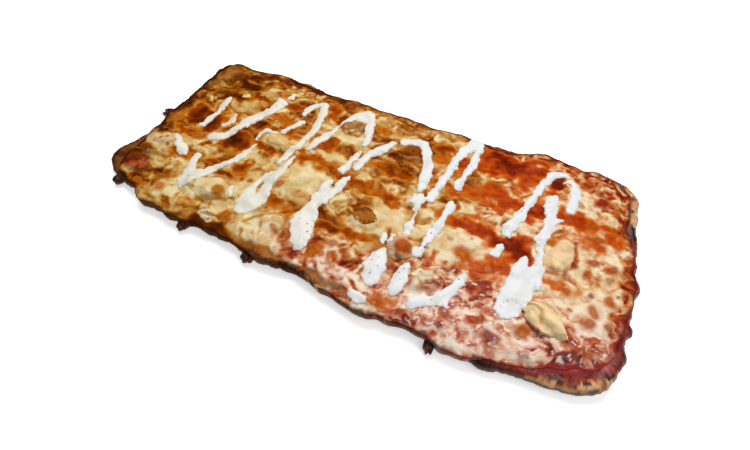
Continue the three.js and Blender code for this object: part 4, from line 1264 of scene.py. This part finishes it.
# Chicken: torn, boxy chunks with a flat base, most of them under a film of cheese
chickenPiece = {
    "subdivisions": 6,
    "squareness": 0.72,  # 1 is round, less is boxy
    "folds": 0.9,
    "fibres": 0.2,
    "flare": 0.2,  # how much a chunk widens at its foot where cheese covers it
    # for each chunk: tint, tint of the creases and of the shade painted in them, crease strength, share
    # covered by cheese, graininess, pale cheese round it, folds and the height of lengthwise ridges
    "looks": [
        ((216, 186, 138), (150, 84, 36), 0.1, 0.45, 0.03, 0.6, 0.5, 0),
        ((234, 210, 162), (150, 110, 66), 0.0, 0.25, 0.0, 0.7, 0.3, 0),
        ((232, 210, 172), (138, 94, 58), 0.25, 0.22, 0.02, 0.7, 0.8, 0),
        ((220, 190, 130), (176, 108, 40), 0.15, 0.45, 0.02, 0.7, 0.6, 0),
        ((184, 138, 84), (120, 72, 34), 0.4, 0.1, 0.06, 0.2, 0.6, 0.2),
        ((206, 162, 92), (150, 92, 36), 0.1, 0.45, 0.04, 0.6, 0.5, 0),
        ((240, 216, 164), (190, 140, 80), 0.1, 0.3, 0.0, 0.2, 0.6, 0),
        ((220, 178, 142), (116, 66, 44), 0.16, 0.12, 0.02, 0.6, 0.7, 0.2),
        ((240, 208, 164), (180, 126, 74), 0.1, 0.18, 0.03, 0.3, 0.6, 0),
        ((248, 220, 170), (160, 112, 64), 0.1, 0.06, 0.02, 0.5, 0.6, 0.35),
        ((224, 210, 190), (150, 120, 96), 0.1, 0.15, 0.0, 0.6, 0.5, 0),
        ((174, 118, 58), (100, 54, 18), 0.3, 0.75, 0.3, 0.0, 0.7, 0.1),
        ((166, 98, 26), (96, 44, 4), 0.1, 0.34, 0.6, 0.1, 0.5, 0),
        ((224, 194, 134), (172, 112, 50), 0.05, 0.4, 0.0, 0.7, 0.4, 0),
        ((226, 208, 184), (160, 100, 64), 0.3, 0.6, 0.08, 0.7, 0.9, 0),
        ((210, 148, 72), (140, 76, 28), 0.3, 0.5, 0.1, 0.0, 0.5, 0),
    ],
    # squareness, taper towards the end and lean along the length, where they aren't the usual
    "shapes": {0: (0.95, 0.1, 0), 1: (0.88, 0.1, 4.5), 7: (0.9, 0, 0), 8: (0.86, 0.15, 0),
               9: (0.8, 0.45, 0), 12: (0.9, 0.5, 0), 13: (0.8, 0.5, 0)},
    # x, y, radius and tint of single spots
    "spots": [
        (-75.5, -50.5, 4.6, (168, 86, 2)), (-95.4, 49.8, 4.6, (162, 74, 2)), (51, -35.5, 5, (178, 74, 14)),
        (124.8, 7.8, 5, (204, 100, 14)), (-78, 2.5, 3.6, (190, 104, 34)),
        (-147.5, -28.5, 1.6, (176, 92, 44)), (-143.5, -26.5, 1.4, (160, 72, 30)),
        (-139, -32, 1.5, (166, 78, 40)), (-134, -37.5, 1.5, (156, 68, 34)),
        (-146, -38, 1.3, (186, 106, 48)), (-136, -26, 1.2, (170, 84, 40)),
        (-151, -32, 1.2, (190, 120, 60)), (-33, -55, 2, (176, 100, 44)), (15, -19, 4.2, (120, 54, 4)),
        (20, -17, 3.6, (126, 58, 6)), (52, -28, 1.6, (170, 84, 40)), (54, -33, 1.4, (176, 92, 50)),
        (-22, 46, 3, (172, 104, 44)), (-28, 40, 1.6, (186, 112, 46)), (66, -44, 1.5, (176, 100, 60)),
        (73, -50, 1.8, (184, 110, 70)),
    ],
}


def makeChunk(index, material):
    x, y, length, width, height, turn = chunks[index]
    tint, creaseAndShadeTint, creaseShare, covered, grainy, _, folds, ridge = chickenPiece["looks"][index]
    bm = bmesh.new()
    bmesh.ops.create_icosphere(bm, subdivisions=chickenPiece["subdivisions"], radius=1)
    ball = readPoints(bm.verts)
    squareness, taper, lean = chickenPiece["shapes"].get(index, (chickenPiece["squareness"], 0, 0))
    squared = np.sign(ball) * np.abs(ball) ** squareness
    squared[:, 1] *= 1 - taper * ease(squared[:, 0], -0.2, 1)
    bx, by, bz = ball.T
    knobsX = np.sin(3.6 * by + 1.7 * index) + np.sin(5.2 * bz + index)
    knobsY = np.sin(3.9 * bx + 2.3 * index) + np.sin(4.7 * bz + 2 * index)
    knobsZ = np.sin(4.4 * bx + index) + np.sin(3.8 * by + 2.9 * index)
    level = np.clip(0.4 + 0.6 * squared[:, 2] + 0.09 * knobsZ * (bz + 0.5), 0, 1.1)
    flare = 1 + chickenPiece["flare"] * covered * 2 * (1 - ease(level, 0.2, 0.85))
    uneven = 1 + 0.09 * lumps(2.6 * bx, 2.6 * by + 7 * index, 1, 190 + index)
    local = np.column_stack((squared[:, 0] * (0.94 + 0.07 * knobsX) * length / 2 * flare * uneven,
                             squared[:, 1] * (0.94 + 0.07 * knobsY) * width / 2 * flare * uneven,
                             level * height))
    local[:, 0] += lean * np.clip(1 - (local[:, 0] / (length / 2)) ** 2, 0, 1)
    upper = ease(level, 0.1, 0.5)
    fold = grain(local[:, 0], local[:, 1] + local[:, 2], 7, 200 + index, 2, 1.5)
    fibre = grain(local[:, 0], local[:, 1], 1.8, 240 + index, 3, 2.6)
    crease = ease(np.abs(grain(local[:, 0] + 9, local[:, 1], 6, 220 + index, 1, 1.8)), 0, 0.5)
    ridgeTurn = local[:, 1] / 6.5 + 0.12 * lumps(local[:, 0], local[:, 1], 9, 230)
    ridges = ridge * np.cos(2 * math.pi * ridgeTurn)
    crumbs = grain(local[:, 0], local[:, 1], 1.1, 270 + index, 2)
    acrossX, acrossY = turned(local[:, 0], local[:, 1], turn)
    # crease lines and painted shadow lines that cross the chunk, carved into it and darkened
    cleftAndShadow = creaseAndShadowAt(x + acrossX, y + acrossY)
    relief = chickenPiece["folds"] * folds * fold + chickenPiece["fibres"] * creaseShare * fibre
    relief += 0.3 * grainy * crumbs + ridges - 0.8 * creaseShare * (1 - crease) - 1.2 * cleftAndShadow
    local[:, 2] += upper * relief
    writePoints(bm, local)
    putAt(bm, x, y, layers["chunkFloor"], turn)
    px, py, _ = readPoints(bm.verts).T / mm
    piece = finishPiece(bm, f"chicken_piece_{index + 1:02d}", material,
                        (f"chicken_{index + 1:02d}",))
    ground = paintCheese(px, py, np.full(len(px), 20.0))["colours"]
    shade = 1 + 0.05 * fold + 0.03 * fibre + 0.35 * grainy * np.clip(crumbs, -0.8, 0.8)
    colours = np.tile(np.array(tint, float), (len(px), 1)) * shade[:, None]
    oily = ease(grain(px, py, 8, 280, 3), 0.1, 0.8)
    colours = blend(colours, 0.4 * oily, np.array(tint) * (0.92, 0.78, 0.55))
    # darkened in the carved crease lines, a painted shade; darker fibre streaks; darkened in the crease and
    # painted shadow lines across it
    colours = blend(colours, creaseShare * (1 - crease), creaseAndShadeTint)
    colours = blend(colours, creaseShare * 0.5 * ease(fibre, 0.4, 1.0), creaseAndShadeTint)
    colours = blend(colours, 0.9 * cleftAndShadow, creaseAndShadeTint)
    outward = np.hypot(local[:, 0] / (length / 2), local[:, 1] / (width / 2))
    climb = ease(outward + 0.2 * fold + 0.5 * grainy * crumbs, 1 - 0.9 * covered, 1.08)
    colours = blend(colours, climb, ground)
    wx, wy = warped(px, py, 651, 0.8)
    for sx, sy, radius, spot in chickenPiece["spots"]:
        colours = blend(colours, 0.85 * (1 - ease(np.hypot(wx - sx, wy - sy) / radius, 0.6, 1.25)), spot)
    paintColours(piece, colours, np.full(len(px), 0.12), np.full(len(px), 0.1 + 0.6 * grainy))
    return piece


# Drizzle: one skin whose thickness follows the distance to the strokes' edges
drizzlePiece = {
    "area": ((-148, 140), (-80, 76)),
    "cell": 0.5,
    "melt": 0.8,  # reach over which strokes that meet run together
    "height": 0.95,
    "swell": 0.1,  # how much it still rises for each millimetre inwards
    "round": 2.1,  # how far inside the edge the rounding ends
    "root": 0.5,  # how deep it goes into what carries it
    "bridged": 1.6,  # reach over which it evens out what lies below
    # x, y, length, width and share of the cheese's tone where it is thin
    "thinSpots": [(-118.5, 12, 6, 10, 0.7), (45.5, -8, 3, 4, 0.6)],
}


# Distance to the edge of a set of strokes, negative inside
def strokeDistance(x, y, paths):
    melt = drizzlePiece["melt"]
    spacing = 0.8
    farAway = 9.0
    total = np.full(len(x), farAway)
    for path in paths:
        knots = np.array(path, float)
        run = np.concatenate(([0], np.cumsum(np.hypot(*np.diff(knots[:, :2], axis=0).T))))
        steps = max(2, int(run[-1] / spacing) + 1)
        at = np.linspace(0, run[-1], steps)
        smooth = [np.interp(at, run, knots[:, k]) for k in range(3)]
        reach = knots[:, 2].max() / 2 + 4
        near = ((x > knots[:, 0].min() - reach) & (x < knots[:, 0].max() + reach)
                & (y > knots[:, 1].min() - reach) & (y < knots[:, 1].max() + reach))
        if not near.any():
            continue
        nx, ny = x[near], y[near]
        best = np.full(len(nx), farAway)
        for sx, sy, width in zip(*smooth):
            best = np.minimum(best, np.hypot(nx - sx, ny - sy) - width / 2)
        before = total[near]
        share = np.clip(0.5 + 0.5 * (before - best) / melt, 0, 1)
        total[near] = before * (1 - share) + best * share - melt * share * (1 - share)
    return total


def drizzleDistance(x, y):
    wavyX = x + 0.9 * lumps(x, y, 4, 301)
    wavyY = y + 0.9 * lumps(x, y, 4, 303)
    distance = strokeDistance(wavyX, wavyY, strokes)
    distance = np.maximum(distance, -strokeDistance(x, y, slits))
    return distance + 0.4 * grain(x, y, 2.4, 305, 2)


def makeDrizzle(supports):
    cell = drizzlePiece["cell"]
    (startX, endX), (startY, endY) = drizzlePiece["area"]
    columns = int((endX - startX) / cell)
    rows = int((endY - startY) / cell)
    bm = bmesh.new()
    bmesh.ops.create_grid(bm, x_segments=columns, y_segments=rows, size=0.5)
    flat = readPoints(bm.verts)[:, :2] + 0.5
    x = startX + flat[:, 0] * (endX - startX)
    y = startY + flat[:, 1] * (endY - startY)
    distance = drizzleDistance(x, y)
    kept = distance <= 0.75 * cell
    spare = [vert for vert, stays in zip(bm.verts, kept) if not stays]
    x, y, distance = x[kept], y[kept], distance[kept]
    bmesh.ops.delete(bm, geom=spare, context="VERTS")
    # points past the edge slide back onto it
    step = 0.15
    slopeX = (drizzleDistance(x + step, y) - drizzleDistance(x - step, y)) / (2 * step)
    slopeY = (drizzleDistance(x, y + step) - drizzleDistance(x, y - step)) / (2 * step)
    steep = np.maximum(np.hypot(slopeX, slopeY), 0.5)
    over = np.maximum(distance, 0)
    x = x - over * slopeX / steep ** 2
    y = y - over * slopeY / steep ** 2
    inside = np.maximum(-distance, 0)
    rounded = np.sqrt(1 - (1 - np.clip(inside / drizzlePiece["round"], 0, 1)) ** 2)
    rise = drizzlePiece["height"] * rounded + drizzlePiece["swell"] * np.maximum(inside - 1, 0)
    rise = rise + rounded * 0.1 * grain(x, y, 6, 311, 2)
    ground = surfaceHeights(supports, x, y)
    # it bridges the fine lumps below
    tree = treeOf(np.column_stack((x, y)))
    around = [tree.find_range((px, py, 0), drizzlePiece["bridged"]) for px, py in zip(x, y)]
    ground = np.array([np.mean(ground[[found[1] for found in near]]) for near in around])
    writePoints(bm, np.column_stack((x, y, ground - drizzlePiece["root"])))
    layer = bm.verts.layers.float.new("rise")
    for vert, height in zip(bm.verts, rise):
        vert[layer] = float(height) + drizzlePiece["root"]
    made = bmesh.ops.extrude_face_region(bm, geom=bm.faces[:], use_keep_orig=True)
    for vert in [entry for entry in made["geom"] if isinstance(entry, bmesh.types.BMVert)]:
        vert.co.z += vert[layer] * mm
    bmesh.ops.recalc_face_normals(bm, faces=bm.faces[:])
    px, py, _ = readPoints(bm.verts).T / mm
    heights = np.array([vert[layer] for vert in bm.verts])
    piece = finishPiece(bm, "white_drizzle", drizzleMaterial())
    cool = ease(px, -60, 80)
    thin = 0.5 * (1 - ease(heights, 0.55, 0.85))
    for sx, sy, length, width, share in drizzlePiece["thinSpots"]:
        thin = thin + share * np.exp(-((px - sx) / length) ** 2 - ((py - sy) / width) ** 2)
    paint(piece, "drizzleTone", cool, thin)
    return piece


# Herb specks: flat crumbs half sunk into the drizzle. Some places are given, the others are drawn
herbPiece = {
    "givenSize": (0.4, 0.7),
    "given": [
        (-104.5, -48), (-8, 0), (-16, -44), (-10, -45), (-6.5, -50), (61, -18), (58.5, -31), (87, -39),
        (122, -12), (104, 21), (117, 35), (38, -50), (43, -52), (41, -58), (57, -47), (58, -54), (55.5, -50),
    ],
    "count": 150,
    "size": (0.14, 0.4),
    "inside": 0.8,  # distance to the drizzle's edge
}


def makeHerbs(drizzle):
    draw = random.Random(907)
    tree, low, high = supportOf(drizzle)
    places = [(x, y, draw.uniform(*herbPiece["givenSize"])) for x, y in herbPiece["given"]]
    while len(places) < herbPiece["count"]:
        x = draw.uniform(low[0], high[0])
        y = draw.uniform(low[1], high[1])
        if draw.random() < 0.35 + 0.65 * ease(x, -60, 60):
            distance = drizzleDistance(np.array([x]), np.array([y]))[0]
            if distance < -herbPiece["inside"]:
                places.append((x, y, draw.uniform(*herbPiece["size"])))
    bm = bmesh.new()
    for x, y, size in places:
        hit = dropOn(tree, x, y)
        if hit is None:
            continue
        made = bmesh.ops.create_icosphere(bm, subdivisions=2, radius=size * mm)
        stretch = Matrix.Diagonal((draw.uniform(0.7, 1.5), draw.uniform(0.5, 0.9), 0.35, 1))
        turn = Matrix.Rotation(draw.uniform(0, math.pi), 4, "Z")
        bmesh.ops.transform(bm, matrix=Matrix.Translation(hit) @ turn @ stretch, verts=made["verts"])
    finishPiece(bm, "herb_specks", plainMaterial("driedHerb"))


# Where a plumb line from above first meets a piece, if it does
def dropOn(tree, x, y):
    return tree.ray_cast(Vector((x * mm, y * mm, 0.06)), Vector((0, 0, -1)))[0]


# Height of the highest support under each place
def surfaceHeights(supports, x, y):
    heights = np.full(len(x), layers["cheeseFloor"])
    for tree, low, high in supports:
        near = np.where((x > low[0]) & (x < high[0]) & (y > low[1]) & (y < high[1]))[0]
        for i in near:
            hit = dropOn(tree, x[i], y[i])
            if hit is not None:
                heights[i] = max(heights[i], hit.z / mm)
    return heights


# A piece as a tree for such lines, with the least and the greatest of its places
def supportOf(piece):
    mesh = piece.data
    places = readPoints(mesh.vertices) / mm
    tree = BVHTree.FromPolygons([vert.co for vert in mesh.vertices],
                                [face.vertices[:] for face in mesh.polygons])
    return tree, places.min(0), places.max(0)


# Burnt drips at the sides: x, y, direction in degrees, reach, half width and height
drips = [
    (-157, -64, -96, 8, 3.6, 5.2), (-87.5, -71, -88, 11, 3.8, 5.5), (-34.5, -71, -85, 10.5, 4.2, 5.6),
    (85.5, -72, -80, 11, 2.8, 5), (-167, 1.5, 184, 13, 5.2, 6.2), (124, 71, 75, 6.5, 3, 5),
]


def makeDrips(material):
    for index, (x, y, direction, reach, halfSpan, height) in enumerate(drips):
        bm = bmesh.new()
        bmesh.ops.create_icosphere(bm, subdivisions=5, radius=1)
        ball = readPoints(bm.verts)
        ball[:, :2] = np.sign(ball[:, :2]) * np.abs(ball[:, :2]) ** 0.65
        swell = 1 + 0.08 * np.sin(4 * ball[:, 0] + 2 * index) + 0.08 * np.sin(7 * ball[:, 1] + index)
        local = ball * swell[:, None] * np.array((reach / 2 + 2, halfSpan, height / 2))
        local[:, 2] += 0.3 * grain(local[:, 0], local[:, 1], 2.5, 400 + index)
        local += np.array((reach / 2 - 2, 0, 0.6 + height / 2))
        local[:, 2] = np.maximum(local[:, 2], 0.2)
        writePoints(bm, local)
        putAt(bm, x, y, 0, direction)
        finishPiece(bm, f"burnt_drip_{index + 1}", material)


# Camera: its place in millimetres and its directions, and the lens in pixels of the picture's width
photoView = {
    "place": (105.51, -151.81, 221.46),
    "right": (0.88182, 0.46922, -0.04726),
    "up": (-0.36180, 0.73739, 0.57040),
    "forward": (-0.30249, 0.48589, -0.82001),
    "focalPixels": 420,
    "imageWidth": 750,
    "sensor": 36,
}


def makeCamera():
    data = bpy.data.cameras.new("photoCamera")
    camera = bpy.data.objects.new("photoCamera", data)
    bpy.context.scene.collection.objects.link(camera)
    data.sensor_width = photoView["sensor"]
    data.lens = photoView["focalPixels"] / photoView["imageWidth"] * photoView["sensor"]
    data.clip_start = 0.01
    back = -Vector(photoView["forward"])
    turn = Matrix((photoView["right"], photoView["up"], back)).transposed()
    camera.matrix_world = Matrix.Translation(Vector(photoView["place"]) * mm) @ turn.to_4x4()
    bpy.context.scene.camera = camera


# Floor, world and lights, in metres: each light has a name, place, size, power and colour
studio = {
    "floorHalf": 3,
    "floorTop": -0.0002,
    "floorTone": (0.97, 0.97, 0.97, 1),
    "floorRoughness": 0.9,
    "floorGlow": 0.5,
    "worldStrength": 0.06,
    "lights": [
        ("mainSoftbox", (-0.2, 0.5, 0.9), 0.6, 8.5, (1, 0.985, 0.96)),
        ("backGlint", (-0.65, 0.35, 0.75), 0.1, 0.3, (1, 0.99, 0.97)),
        ("wetGlint", (0.02, 0.5, 1.0), 0.07, 0.9, (1, 0.99, 0.98)),
        ("sideFill", (0.6, -0.1, 0.8), 0.7, 3.6, (1, 1, 1)),
    ],
}


def makeLight(name, place, size, power, colour):
    data = bpy.data.lights.new(name, "AREA")
    data.size = size
    data.energy = power
    data.color = colour
    light = bpy.data.objects.new(name, data)
    bpy.context.scene.collection.objects.link(light)
    light.location = place
    light.rotation_mode = "QUATERNION"
    light.rotation_quaternion = (-Vector(place)).to_track_quat("-Z", "Y")


def makeStage():
    bm = bmesh.new()
    bmesh.ops.create_grid(bm, x_segments=1, y_segments=1, size=studio["floorHalf"])
    mesh = bpy.data.meshes.new("floor")
    bm.to_mesh(mesh)
    bm.free()
    floor = bpy.data.objects.new("floor", mesh)
    bpy.context.scene.collection.objects.link(floor)
    floor.location = (0, 0, studio["floorTop"])
    material, _, shader = newMaterial("paleFloor")
    shader.inputs["Base Color"].default_value = studio["floorTone"]
    shader.inputs["Roughness"].default_value = studio["floorRoughness"]
    shader.inputs["Emission Color"].default_value = (1, 1, 1, 1)
    shader.inputs["Emission Strength"].default_value = studio["floorGlow"]
    mesh.materials.append(material)
    world = bpy.data.worlds.new("studio")
    world.use_nodes = True
    background = world.node_tree.nodes["Background"]
    background.inputs["Color"].default_value = (1, 1, 1, 1)
    background.inputs["Strength"].default_value = studio["worldStrength"]
    bpy.context.scene.world = world
    bpy.context.scene.view_settings.view_transform = "Standard"
    for light in studio["lights"]:
        makeLight(*light)


makeCamera()
makeStage()
print("camera and stage ready")
makeCrust()
print("crust ready")
makeSauce()
print("tomato ready")
cheese = makeCheese()
print("cheese ready")
cookedChicken = paintedMaterial("cookedChicken")
chicken = [makeChunk(index, cookedChicken) for index in range(len(chunks))]
print("chicken ready")
makeDrips(plainMaterial("burntDrip"))
drizzle = makeDrizzle([supportOf(piece) for piece in [cheese] + chicken])
makeHerbs(drizzle)
print("drizzle ready")
